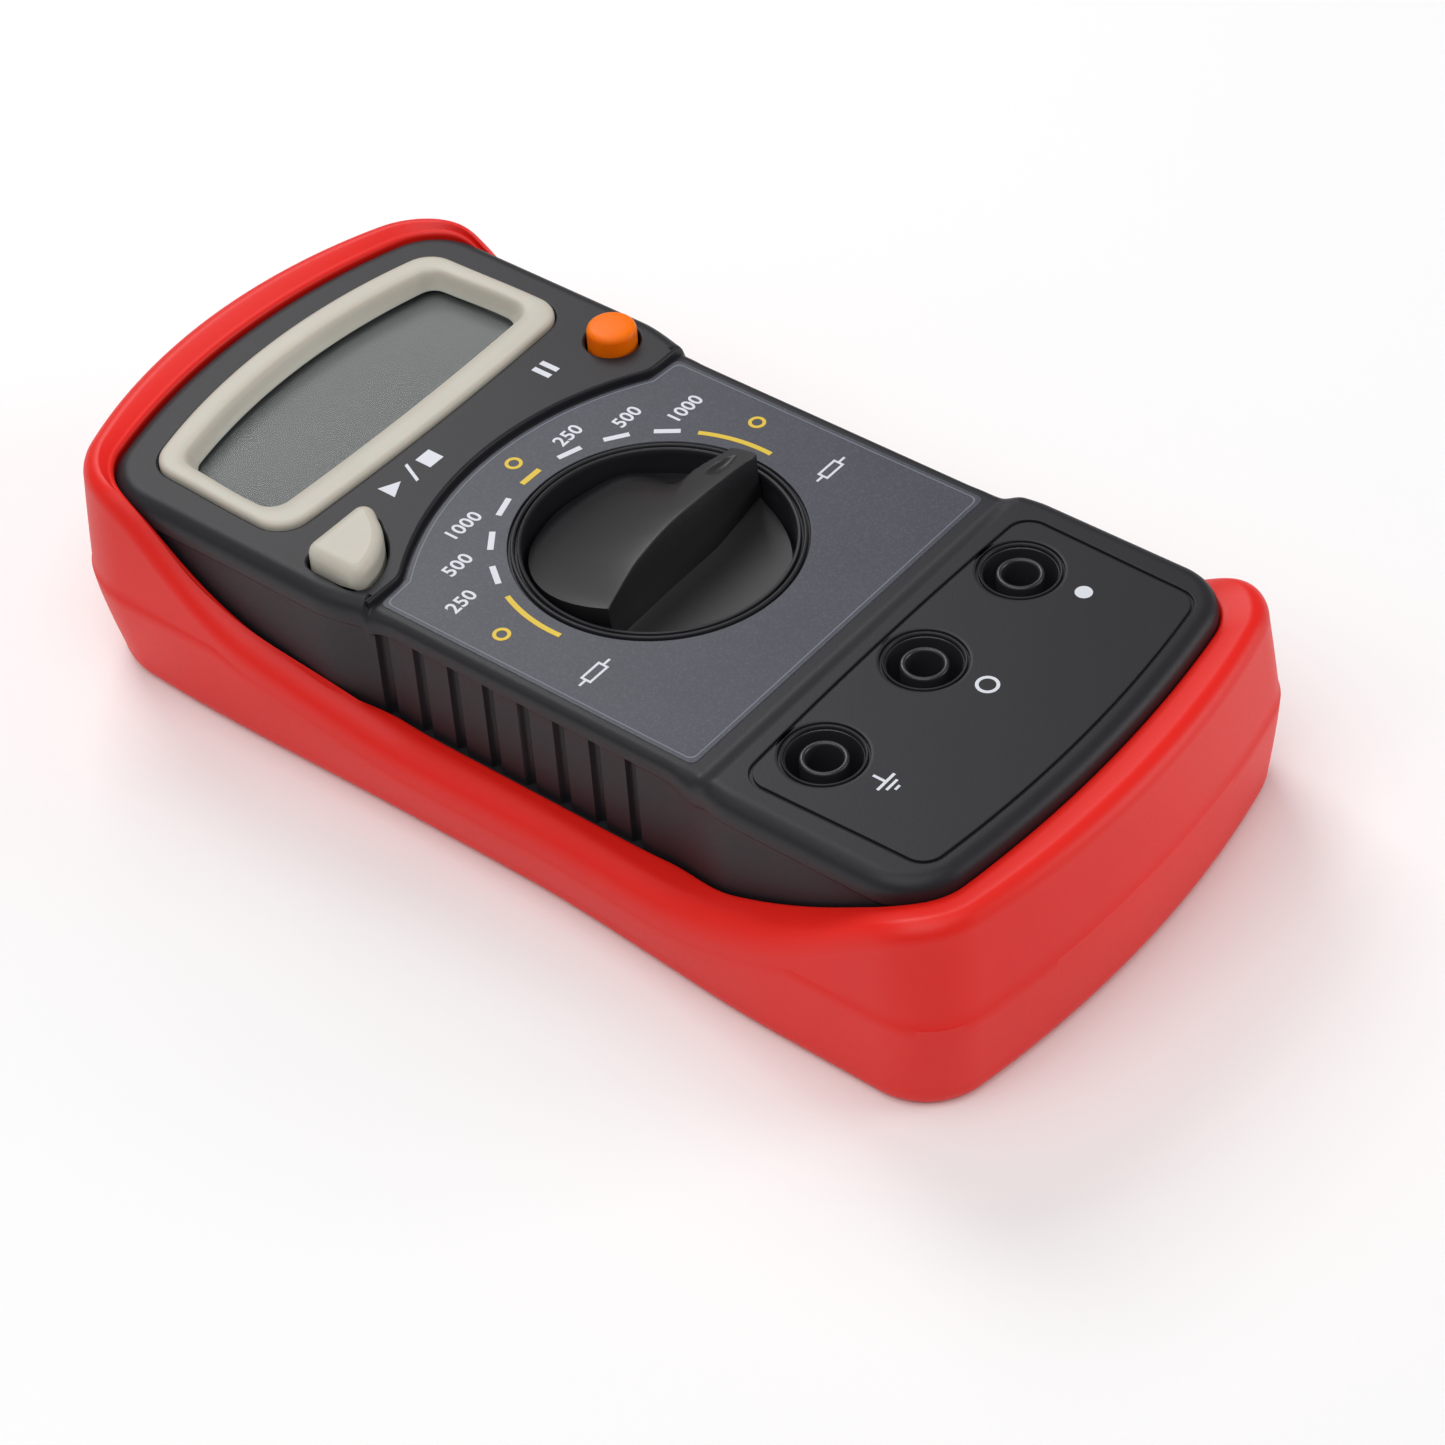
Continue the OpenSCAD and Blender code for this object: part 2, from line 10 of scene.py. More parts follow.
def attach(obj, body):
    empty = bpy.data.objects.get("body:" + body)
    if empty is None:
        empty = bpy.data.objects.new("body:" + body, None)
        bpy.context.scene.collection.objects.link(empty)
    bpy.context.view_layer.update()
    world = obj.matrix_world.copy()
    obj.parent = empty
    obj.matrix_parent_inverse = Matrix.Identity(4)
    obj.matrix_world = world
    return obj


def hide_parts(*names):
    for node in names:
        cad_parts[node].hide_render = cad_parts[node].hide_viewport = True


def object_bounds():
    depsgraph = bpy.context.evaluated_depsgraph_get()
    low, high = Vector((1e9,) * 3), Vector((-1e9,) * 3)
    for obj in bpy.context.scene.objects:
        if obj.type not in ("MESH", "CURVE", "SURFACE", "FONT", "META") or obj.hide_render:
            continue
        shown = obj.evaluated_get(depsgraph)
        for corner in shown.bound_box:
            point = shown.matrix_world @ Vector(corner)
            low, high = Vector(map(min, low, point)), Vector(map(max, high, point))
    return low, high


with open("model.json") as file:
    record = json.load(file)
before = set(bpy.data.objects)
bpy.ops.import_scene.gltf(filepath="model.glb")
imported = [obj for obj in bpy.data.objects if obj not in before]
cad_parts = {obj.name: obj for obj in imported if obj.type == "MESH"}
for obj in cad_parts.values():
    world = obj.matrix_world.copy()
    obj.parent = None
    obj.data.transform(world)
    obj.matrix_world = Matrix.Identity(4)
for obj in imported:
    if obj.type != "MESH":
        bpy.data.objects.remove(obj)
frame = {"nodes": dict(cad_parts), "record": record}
cad_lo, cad_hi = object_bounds()
MM = 0.001
# Half the holster's size, which is the CAD model's
HALF_WIDTH, HALF_LENGTH = (round(v / MM, 1) for v in cad_hi[:2])
# Heights of the holster's rim beside the dial and at both ends, and of the crease round its side
RIM_SIDE, RIM_DISPLAY, RIM_SOCKET = 11.7, 27.6, 25.4
CREASE_Z = 13.2
# Heights of the dial's face, and of the display and socket zones at both ends of it
DIAL_Z = 26.5
FACE_Z = 27.5
# Centre of the dial, of the row of sockets and of the round button, and the distance between sockets
DIAL_Y = -2.0
SOCKET_Y = -38.8
PITCH = 17.8
HOLD_AT = (24, 24.4)
# Radius of the knob and height of its floor
KNOB_R = 14.8
KNOB_FLOOR = 23.6
# Centre of each socket
SOCKETS = [(i * PITCH, SOCKET_Y) for i in (-1, 0, 1)]
# Top of the plate on the dial
PLATE_Z = DIAL_Z + 0.07
# Height of printed ink above what it is printed on, and how far its edge goes into it
INK = 0.035
INK_ROOT = 0.02


# ---------------------------------------------------------------- camera, lights, floor
def make_camera():
    """A camera above the near left corner, turned a little about its own line of sight."""
    azimuth, elevation, roll = (math.radians(a) for a in (-138.78, 43.38, -4.26))
    data = bpy.data.cameras.new("camera")
    data.lens = 99.2
    data.sensor_width = 36.0
    data.clip_start, data.clip_end = 0.01, 20
    cam = bpy.data.objects.new("camera", data)
    bpy.context.collection.objects.link(cam)
    back = Vector((math.cos(elevation) * math.cos(azimuth), math.cos(elevation) * math.sin(azimuth),
                   math.sin(elevation)))
    level = Vector((0, 0, 1)).cross(back).normalized()
    upright = back.cross(level)
    right = level * math.cos(roll) + upright * math.sin(roll)
    up = upright * math.cos(roll) - level * math.sin(roll)
    m = Matrix((right, up, back)).transposed().to_4x4()
    m.translation = Vector((-250.73, -229.06, 317.2)) * MM
    cam.matrix_world = m
    bpy.context.scene.camera = cam


def area(name, at, aim, size, power):
    """A white area light, pointed at aim."""
    data = bpy.data.lights.new(name, "AREA")
    data.shape = "RECTANGLE"
    data.size, data.size_y = size
    data.energy = power
    o = bpy.data.objects.new(name, data)
    bpy.context.collection.objects.link(o)
    o.location = at
    o.rotation_euler = (Vector(aim) - Vector(at)).to_track_quat("-Z", "Y").to_euler()


def make_studio():
    make_camera()
    bpy.context.scene.view_settings.view_transform = "Standard"
    area("key_back", (0.30, 0.52, 0.62), (0, 0, 0.02), (0.40, 0.40), 2.9)
    area("top", (-0.30, -0.08, 0.86), (0, 0, 0), (0.9, 0.9), 5.3)
    area("fill_left", (-0.62, 0.36, 0.48), (0, 0, 0.01), (0.5, 0.4), 0.35)
    area("fill_right", (0.62, -0.75, 0.30), (0, 0, 0.01), (0.5, 0.4), 2.7)
    world = bpy.data.worlds.new("studio")
    bpy.context.scene.world = world
    world.use_nodes = True
    bg = world.node_tree.nodes["Background"]
    bg.inputs["Color"].default_value = (1, 1, 1, 1)
    bg.inputs["Strength"].default_value = 0.22
    me = bpy.data.meshes.new("floor")
    s = 3.0  # half the floor's side, in metres
    me.from_pydata([(-s, -s, 0), (s, -s, 0), (s, s, 0), (-s, s, 0)], [], [(0, 1, 2, 3)])
    floor = bpy.data.objects.new("floor", me)
    bpy.context.collection.objects.link(floor)
    floor.location.z = -0.02 * MM
    m = bpy.data.materials.new("floor")
    m.use_nodes = True
    b = m.node_tree.nodes["Principled BSDF"]
    b.inputs["Base Color"].default_value = (0.96, 0.96, 0.96, 1)
    b.inputs["Roughness"].default_value = 0.9
    b.inputs["Specular IOR Level"].default_value = 0.1
    me.materials.append(m)


# ---------------------------------------------------------------- materials
def lin(r, g, b):
    """Linear colour from screen values up to 255."""
    def one(c):
        c /= 255.0
        return c / 12.92 if c <= 0.04045 else ((c + 0.055) / 1.055) ** 2.4
    return (one(r), one(g), one(b), 1.0)


# Finishes by name, and the names of the record's slots
MATS = {}


def noise(tree, source, scale, detail):
    n = tree.nodes.new("ShaderNodeTexNoise")
    n.inputs["Scale"].default_value = scale
    n.inputs["Detail"].default_value = detail
    n.inputs["Roughness"].default_value = 0.55
    tree.links.new(source, n.inputs["Vector"])
    return n.outputs["Fac"]


def tones(tree, source, color, var):
    """Broad variation of a colour, from a little darker to a little lighter."""
    ramp = tree.nodes.new("ShaderNodeValToRGB")
    ends = ramp.color_ramp.elements
    ends[0].position = 0.30
    ends[1].position = 0.70
    ends[0].color = [max(0.0, c * (1 - var)) for c in color[:3]] + [1]
    ends[1].color = [min(1.0, c * (1 + var)) for c in color[:3]] + [1]
    tree.links.new(source, ramp.inputs["Fac"])
    return ramp.outputs["Color"]


def flecks_with_painted_sparkle(tree, source, under, color, amount, scale):
    """Small lighter cells over the colour under them: the film's metal flecks, with their sparkle painted
    in as lighter colour.
    """
    cells = tree.nodes.new("ShaderNodeTexVoronoi")
    cells.inputs["Scale"].default_value = scale
    tree.links.new(source, cells.inputs["Vector"])
    split = tree.nodes.new("ShaderNodeSeparateColor")
    tree.links.new(cells.outputs["Color"], split.inputs["Color"])
    cut = tree.nodes.new("ShaderNodeMapRange")
    cut.inputs["From Min"].default_value = 0.55
    cut.inputs["From Max"].default_value = 1.0
    cut.inputs["To Max"].default_value = amount
    tree.links.new(split.outputs["Red"], cut.inputs["Value"])
    mix = tree.nodes.new("ShaderNodeMix")
    mix.data_type = "RGBA"
    a, b = (k for k in mix.inputs if k.type == "RGBA")
    b.default_value = [min(1, c * 2.4 + 0.04) for c in color[:3]] + [1]
    tree.links.new(under, a)
    tree.links.new(cut.outputs["Result"], mix.inputs["Factor"])
    return next(k for k in mix.outputs if k.type == "RGBA")


def bands(tree, source, scale):
    wave = tree.nodes.new("ShaderNodeTexWave")
    wave.inputs["Scale"].default_value = scale
    wave.inputs["Distortion"].default_value = 0.6
    tree.links.new(source, wave.inputs["Vector"])
    return wave.outputs["Fac"]


def moulded(name, color, rough=0.5, rough_var=0.06, grain=1400, grain_depth=0.02, blotch=60, var=0.05,
            metallic=0.0, spec=0.5, coat=0.0, fleck_sparkle=0.0, fleck_sparkle_scale=2200, lines=0.0, sss=0.0):
    """A procedural finish: broad colour variation, fine grain in the bump, uneven roughness."""
    m = bpy.data.materials.new(name)
    m.use_nodes = True
    tree = m.node_tree
    b = tree.nodes["Principled BSDF"]
    b.inputs["Metallic"].default_value = metallic
    b.inputs["Specular IOR Level"].default_value = spec
    b.inputs["Coat Weight"].default_value = coat
    b.inputs["Coat Roughness"].default_value = 0.15
    if sss:
        b.inputs["Subsurface Weight"].default_value = sss
        b.inputs["Subsurface Radius"].default_value = (1.0, 0.25, 0.15)
        b.inputs["Subsurface Scale"].default_value = 1.5 * MM
    source = tree.nodes.new("ShaderNodeTexCoord").outputs["Object"]
    fine = noise(tree, source, grain, 3)
    tone = tones(tree, noise(tree, source, blotch, 4), color, var)
    # Lighter cells for the film's metal flecks, their sparkle painted into the colour
    if fleck_sparkle:
        tone = flecks_with_painted_sparkle(tree, source, tone, color, fleck_sparkle, fleck_sparkle_scale)
    tree.links.new(tone, b.inputs["Base Color"])
    uneven = tree.nodes.new("ShaderNodeMapRange")
    uneven.inputs["To Min"].default_value = rough - rough_var
    uneven.inputs["To Max"].default_value = rough + rough_var
    tree.links.new(fine, uneven.inputs["Value"])
    tree.links.new(uneven.outputs["Result"], b.inputs["Roughness"])
    bump = tree.nodes.new("ShaderNodeBump")
    bump.inputs["Strength"].default_value = 0.5
    bump.inputs["Distance"].default_value = grain_depth * MM
    tree.links.new(bands(tree, source, lines) if lines else fine, bump.inputs["Height"])
    tree.links.new(bump.outputs["Normal"], b.inputs["Normal"])
    MATS[name] = m


def clear_window():
    """A clear glossy sheet, a little uneven in its gloss."""
    m = bpy.data.materials.new("clear_window")
    m.use_nodes = True
    tree = m.node_tree
    b = tree.nodes["Principled BSDF"]
    b.inputs["Base Color"].default_value = (0.01, 0.012, 0.012, 1)
    b.inputs["Alpha"].default_value = 0.12
    b.inputs["Specular IOR Level"].default_value = 0.3
    n = tree.nodes.new("ShaderNodeTexNoise")
    n.inputs["Scale"].default_value = 300
    gloss = tree.nodes.new("ShaderNodeMapRange")
    gloss.inputs["To Min"].default_value = 0.04
    gloss.inputs["To Max"].default_value = 0.10
    c = tree.nodes.new("ShaderNodeTexCoord")
    tree.links.new(c.outputs["Object"], n.inputs["Vector"])
    tree.links.new(n.outputs["Fac"], gloss.inputs["Value"])
    tree.links.new(gloss.outputs["Result"], b.inputs["Roughness"])
    MATS["clear_window"] = m


def make_materials():
    moulded("holster_rubber", lin(230, 25, 13), 0.46, 0.07, grain=2600, grain_depth=0.014,
            blotch=35, var=0.04, spec=0.38)
    moulded("case_plastic", lin(33, 33, 37), 0.46, 0.07, grain=3600, grain_depth=0.022, blotch=70,
            var=0.06, spec=0.3)
    # The film's metal flecks, with a painted sparkle of lighter cells
    moulded("label_film", lin(65, 66, 76), 0.42, 0.05, grain=3600, grain_depth=0.006, blotch=120,
            var=0.05, spec=0.32, fleck_sparkle=0.16, fleck_sparkle_scale=5200)
    moulded("cream_plastic", lin(192, 187, 175), 0.4, 0.05, grain=2400, grain_depth=0.008,
            blotch=60, var=0.03, spec=0.35, sss=0.3)
    moulded("lcd_glass", lin(120, 124, 123), 0.4, 0.04, grain=500, grain_depth=0.002, blotch=38,
            var=0.05, spec=0.2)
    moulded("white_plastic", lin(222, 222, 216), 0.45)
    moulded("pink_rubber", lin(230, 150, 160), 0.6)
    moulded("board_laminate", lin(22, 92, 48), 0.3, 0.08, grain=900, grain_depth=0.02, blotch=250,
            var=0.15, coat=0.3)
    moulded("ribbon_film", lin(190, 120, 40), 0.3)
    moulded("gilt_brass", lin(214, 172, 96), 0.28, 0.08, grain=1500, grain_depth=0.006,
            metallic=1.0)
    moulded("sleeve_plastic", lin(40, 40, 44), 0.35, 0.06, grain=3000, grain_depth=0.012, spec=0.5)
    moulded("knob_plastic", lin(29, 29, 31), 0.42, 0.07, grain=3600, grain_depth=0.012, blotch=80,
            var=0.08, spec=0.4)
    moulded("bright_steel", lin(190, 190, 194), 0.3, 0.08, grain=900, grain_depth=0.006,
            metallic=1.0)
    moulded("black_plastic", lin(26, 26, 27), 0.45)
    moulded("orange_plastic", lin(255, 118, 0), 0.42, 0.05, grain=2200, grain_depth=0.008,
            blotch=80, var=0.04, spec=0.18, sss=0.5)
    moulded("battery_case", lin(44, 44, 48), 0.3, metallic=0.6)
    moulded("lead_vinyl", lin(190, 30, 28), 0.4)
    moulded("ferrite", lin(48, 46, 46), 0.55, grain=900, grain_depth=0.03)
    moulded("copper_wire", lin(196, 112, 60), 0.3, metallic=0.9, lines=900, grain_depth=0.1)
    moulded("capacitor_epoxy", lin(180, 84, 36), 0.3)
    moulded("capacitor_sleeve", lin(30, 34, 66), 0.3)
    moulded("resistor_lacquer", lin(96, 150, 190), 0.3)
    moulded("blue_plastic", lin(36, 84, 170), 0.4)
    moulded("ink_white", lin(214, 216, 224), 0.5, grain=3000, grain_depth=0.004)
    moulded("ink_yellow", lin(222, 188, 40), 0.5, grain=3000, grain_depth=0.004)
    moulded("ink_grey", lin(106, 110, 120), 0.5, grain=3000, grain_depth=0.004)
    clear_window()


# ---------------------------------------------------------------- mesh helpers (all in mm)
class Builder:
    """Collects rings, caps and strips of one piece, in millimetres."""

    def __init__(self):
        self.v, self.f = [], []

    def add(self, pts):
        """Adds points and says where the first of them is."""
        k = len(self.v)
        self.v.extend([tuple(map(float, p)) for p in pts])
        return k

    def rings(self, rings, closed=True, flip=False):
        """Joins rows of points, one to the next."""
        n = len(rings[0])
        base = [self.add(r) for r in rings]
        m = n if closed else n - 1
        for a, b in zip(base, base[1:]):
            for i in range(m):
                j = (i + 1) % n
                q = (a + i, a + j, b + j, b + i)
                self.f.append(q[::-1] if flip else q)

    def cap(self, loops, z, up=True):
        """Flat area between an outer loop and its holes; loops are (N, 2) arrays."""
        pts = [[Vector((p[0], p[1], 0)) for p in lp] for lp in loops]
        tris = tessellate_polygon(pts)
        flat = [p for lp in loops for p in lp]
        k = self.add([(p[0], p[1], z) for p in flat])
        for t in tris:
            a, b, c = (flat[i] for i in t)
            cross = (b[0] - a[0]) * (c[1] - a[1]) - (b[1] - a[1]) * (c[0] - a[0])
            if abs(cross) < 1e-9:
                continue
            ok = (cross > 0) == up
            self.f.append(tuple(k + i for i in (t if ok else t[::-1])))

    def lathe(self, profile, at, n=96, flip=False, axis="z"):
        """Turns (radius, height) points round an upright line at (x, y), or round one along X at (y, z)."""
        rings = []
        for r, z in profile:
            ring = []
            for i in range(n):
                a = 2 * math.pi * i / n
                if axis == "z":
                    ring.append((at[0] + r * math.cos(a), at[1] + r * math.sin(a), z))
                else:
                    ring.append((z, at[0] + r * math.cos(a), at[1] + r * math.sin(a)))
            rings.append(ring)
        self.rings(rings, True, flip)

    def make(self, name, body, slot, nodes, smooth=35):
        """Makes the piece, which rides on a body and replaces the CAD nodes named."""
        me = bpy.data.meshes.new(name)
        me.from_pydata([(x * MM, y * MM, z * MM) for x, y, z in self.v], [], self.f)
        me.validate()
        o = bpy.data.objects.new(name, me)
        bpy.context.collection.objects.link(o)
        me.materials.append(MATS[slot])
        me.polygons.foreach_set("use_smooth", [True] * len(me.polygons))
        me.set_sharp_from_angle(angle=math.radians(smooth))
        me.update()
        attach(o, body)
        if nodes:
            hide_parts(*nodes)


def arc(cx, cy, r, a0, a1, n):
    """Points of an arc from angle a0 to a1 in degrees, both ends with it."""
    a = np.radians(np.linspace(a0, a1, n + 1))
    return np.stack([cx + r * np.cos(a), cy + r * np.sin(a)], 1)


def ease(t):
    """Smooth step from 0 to 1."""
    t = np.clip(t, 0, 1)
    return t * t * (3 - 2 * t)


def half_width(y, wd, ww, ws, y1, y2, y3, y4):
    """Half width at y: wd towards the display end, ww at the waist, ws towards the socket end."""
    return np.where(y > 0, ww + (wd - ww) * ease((y - y1) / (y2 - y1)),
                    ww + (ws - ww) * ease((y3 - y) / (y3 - y4)))


def corner_y(top, R, w, rc):
    """Where a corner of radius rc sits inside an end arc of radius R that reaches y = top."""
    return top - R + math.sqrt((R - rc) ** 2 - (w - rc) ** 2)


def outline(top, bottom, Rt, Rb, rt, rb, wd, ww, ws, y1, y2, y3, y4, na=24, nc=24, ns=300):
    """A body's outline: end arcs of radii Rt and Rb, corners rt and rb, and waisted sides."""
    yt = corner_y(top, Rt, wd, rt)
    yb = -corner_y(-bottom, Rb, ws, rb)
    at = math.degrees(math.atan2(yt - (top - Rt), wd - rt))
    ab = math.degrees(math.atan2(-(yb - (bottom + Rb)), ws - rb))
    ys = np.linspace(yb, yt, ns + 2)[1:-1]
    side = np.stack([half_width(ys, wd, ww, ws, y1, y2, y3, y4), ys], 1)
    half = np.concatenate([
        arc(0, bottom + Rb, Rb, -90, -ab, na),
        arc(ws - rb, yb, rb, -ab, 0, nc)[1:],
        side,
        arc(wd - rt, yt, rt, 0, at, nc),
        arc(0, top - Rt, Rt, at, 90, na)[1:],
    ])
    left = half[1:-1][::-1] * np.array([-1, 1])
    return np.concatenate([half, left])


def holster_line():
    return outline(HALF_LENGTH, -HALF_LENGTH, 68, 135, 12, 8.5,
                   HALF_WIDTH - 1.6, HALF_WIDTH - 1.9, HALF_WIDTH, 4, 40, -6, -44)


def case_line(g, na=24, nc=24, ns=300):
    """The case's outline, g inside its edge."""
    return outline(62.6 - g, -62.2 + g, 78, 160, 8.5 - g, 7.5 - g, 29.7 - g, 27.9 - g, 29.5 - g,
                   13, 24, -24.5, -35, na, nc, ns)


def bezel_line(g):
    return outline(57.4 - g, 31.4 + g, 76, 400, 4 - g * 0.4, 4 - g * 0.4, 24.5 - g, 24.9 - g, 24.9 - g,
                   37, 52, 29, 28, 30, 16, 40)


def opening_line(g):
    return outline(53.2 - g, 36.2 + g, 76, 400, 2.2 - g * 0.4, 2.2 - g * 0.4, 21.1 - g, 21.6 - g, 21.6 - g,
                   40, 50, 29, 28, 30, 16, 40)


def normals(p, closed=True):
    """Unit normals to the right of the walking direction: outward for an anticlockwise loop."""
    p = np.asarray(p, float)
    if closed:
        d = np.roll(p, -1, 0) - np.roll(p, 1, 0)
    else:
        d = np.gradient(p, axis=0)
    d /= np.maximum(np.linalg.norm(d, axis=1, keepdims=True), 1e-9)
    return np.stack([d[:, 1], -d[:, 0]], 1)


def lift(p, z):
    """Flat points at height z, which is one number or one for each point."""
    z = np.broadcast_to(z, (len(p),))
    return np.concatenate([np.asarray(p), z[:, None]], 1)


def rim_rings(loop, r, z_top, z_low, outward, steps=5, closed=True):
    """Rings of a rounded edge, from the flat down the wall; outward is +1 where the solid is inside."""
    n = normals(loop, closed) * outward
    rings = [lift(loop - n * (r + 0.03), z_top)]
    for k in range(steps + 1):
        a = math.pi / 2 * k / steps
        rings.append(lift(loop - n * (r - r * math.sin(a)), z_top - r + r * math.cos(a)))
    rings.append(lift(loop, z_low))
    return rings


def circle_loop(x, y, r, n=96):
    a = 2 * np.pi * np.arange(n) / n
    return np.stack([x + r * np.cos(a), y + r * np.sin(a)], 1)


def round_rect(x0, x1, y0, y1, r, n=8):
    """A rectangle with rounded corners."""
    return np.concatenate([arc(x1 - r, y0 + r, r, -90, 0, n), arc(x1 - r, y1 - r, r, 0, 90, n),
                           arc(x0 + r, y1 - r, r, 90, 180, n), arc(x0 + r, y0 + r, r, 180, 270, n)])


# ---------------------------------------------------------------- holster
def rim_height(y):
    """Height of the rim at y, climbing from the side to both ends."""
    head = RIM_SIDE + 0.18 * np.maximum(0, y - 12) + 0.0235 * np.maximum(0, y - 32) ** 2
    foot = RIM_SIDE + 0.024 * np.maximum(0, -y - 22) ** 1.8
    return np.where(y > 0, np.minimum(RIM_DISPLAY, head), np.minimum(RIM_SOCKET, foot))


def smooth_loop(v, sigma):
    """Values round a closed loop, smoothed with a bell curve sigma points wide."""
    k = np.arange(-3 * sigma, 3 * sigma + 1)
    w = np.exp(-0.5 * (k / sigma) ** 2)
    w /= w.sum()
    return sum(wi * np.roll(v, int(s)) for wi, s in zip(w, k))


def resample(loop, n):
    """The same closed loop with n points evenly spaced along it, and where they fall on the old index."""
    p = np.vstack([loop, loop[:1]])
    s = np.concatenate([[0], np.cumsum(np.linalg.norm(np.diff(p, axis=0), axis=1))])
    t = np.linspace(0, s[-1], n, endpoint=False)
    even = np.stack([np.interp(t, s, p[:, 0]), np.interp(t, s, p[:, 1])], 1)
    return even, np.interp(t, s, np.arange(len(p)))


def make_holster():
    N = 720
    O, idx = resample(holster_line(), N)
    case = case_line(-0.03)
    wrap = np.vstack([case, case[:1]])
    k = np.arange(len(wrap))
    inner = np.stack([np.interp(idx, k, wrap[:, 0]), np.interp(idx, k, wrap[:, 1])], 1)
    d = inner - O
    T = np.linalg.norm(d, axis=1)
    u = d / T[:, None]
    h = smooth_loop(rim_height(inner[:, 1]), 5)
    # The corners are cut in a little towards the table at the display end, and towards the rim at the other
    nrm = normals(O)
    corner = np.clip(2 * np.abs(nrm[:, 0] * nrm[:, 1]), 0, 1) ** 1.5
    low_cut = smooth_loop(corner * np.where(O[:, 1] > 0, 2.8, 0.0), 16)
    top_cut = smooth_loop(corner * np.where(O[:, 1] > 0, 0.0, 1.3), 10)
    crown = 0.05 + smooth_loop(np.where(O[:, 1] > 0, 0.6, 0.95), 6) * ease((h - 15) / 8)
    crest = h + crown
    ro = 2.1 + 1.2 * (1 - ease((h - 12.5) / 8))
    zc = np.minimum(CREASE_Z, h - ro - 1.2)
    lip = 0.13 * ease((h - 14.5) / 3)
    b = Builder()
    rows = []

    def ring(off, z):
        rows.append(lift(O + u * np.broadcast_to(off, (N,))[:, None], z))

    # Round foot edge: how far in it starts and ends, and how high it reaches
    i0, i2, zr = 2.7, 0.9, 2.6
    for k in range(7):
        a = math.pi / 2 * k / 6
        ring(i2 + (i0 - i2) * (1 - math.sin(a)) + low_cut * (1 - 0.25 * math.sin(a)),
             zr * (1 - math.cos(a)))
    for f in np.linspace(0, 1, 9)[1:]:
        ring((i2 + 0.75 * low_cut) * (1 - f) ** 1.35, zr + (zc - zr) * f)
    ring(lip, zc + 0.16)
    low = crest - ro

    def draft(z):
        t = z - zc
        return lip + 0.07 * t + 0.001 * t * t + top_cut * t / 12

    for k in range(8):
        z = zc + 0.3 + (low - zc - 0.3) * (k + 1) / 8
        ring(draft(z), z)
    off0 = draft(low)
    for k in range(1, 11):
        a = math.pi / 2 * k / 10
        ring(off0 + ro * (1 - math.cos(a)), low + ro * math.sin(a))
    ri = 0.6
    wide = T - (off0 + ro) - ri
    for f in np.linspace(0.12, 1, 8):
        ring(off0 + ro + wide * f, crest - crown * f ** 1.15)
    for k in range(1, 7):
        a = math.pi / 2 * k / 6
        ring(T - ri + ri * math.sin(a), h - ri + ri * math.cos(a))
    ring(T, 6.0)
    ring(T, 2.0)
    b.rings(rows, True)
    # Floor with the window for the stand
    win = np.concatenate([arc(16, 27, 3, 0, 90, 8), arc(-16, 27, 3, 90, 180, 8),
                          arc(-16, -33, 3, 180, 270, 8), arc(16, -33, 3, 270, 360, 8)])
    b.cap([rows[0][:, :2], win - normals(win) * -0.43], 0.0, up=False)
    edge = [lift(win + normals(win) * (0.43 - 0.4 * math.sin(a)), 0.4 - 0.4 * math.cos(a))
            for a in np.linspace(0, math.pi / 2, 5)]
    edge.insert(0, lift(win + normals(win) * 0.43, 0.0))
    edge.append(lift(win + normals(win) * 0.03, 2.0))
    b.rings(edge, True, flip=True)
    b.cap([rows[-1][:, :2], win + normals(win) * 0.03], 2.0, up=True)
    b.make("holster_boot", "tester", "holster_rubber", ["holster"], smooth=40)


# ---------------------------------------------------------------- front case
def top_height(y):
    """Height of the case's top along its edge."""
    a = ease((y - 16.6) / 0.9)
    c = ease((-28.8 - y) / 2.9)
    return DIAL_Z + (FACE_Z - DIAL_Z) * np.maximum(a, c)


def arch_line(n=160, grow=0.0):
    """The step between the display zone and the dial zone, left to right."""
    xs = np.linspace(-27.5, 27.5, n)
    y = np.maximum(17.0, -16.8 + np.sqrt(np.maximum((40.4 + grow) ** 2 - xs ** 2, 0)))
    w = np.hanning(15)
    w /= w.sum()
    y = np.convolve(np.pad(y, 7, mode="edge"), w, mode="valid")
    return np.stack([xs, y], 1)


def test_loop(g):
    """The test button's outline, g inside its edge."""
    return np.concatenate([arc(-18.2, 25.9, 1.5 - g, -30, 90, 14), arc(-25, 25.7, 1.7 - g, 90, 180, 14),
                           arc(-25, 20.7, 1.7 - g, 180, 262, 14), arc(-26.2, 28.6, 9.7 - g, 286, 332, 18)])


def border_loop(g):
    """The groove round the socket zone, g outside its inner edge."""
    return outline(-33 - g, -59.6 + g, 600, 160, 3 - g, 3 - g, 25.8 - g, 25.8 - g, 25.3 - g,
                   30, 40, -33, -58, 30, 12, 40)


def clip_rows(loop, keep):
    """The run of loop points that keep() accepts, in walking order; the run is taken as one stretch."""
    ok = keep(loop)
    n = len(loop)
    start = next(i for i in range(n) if ok[i] and not ok[i - 1])
    out = []
    i = start
    while ok[i % n] and len(out) < n:
        out.append(loop[i % n])
        i += 1
    return np.array(out)


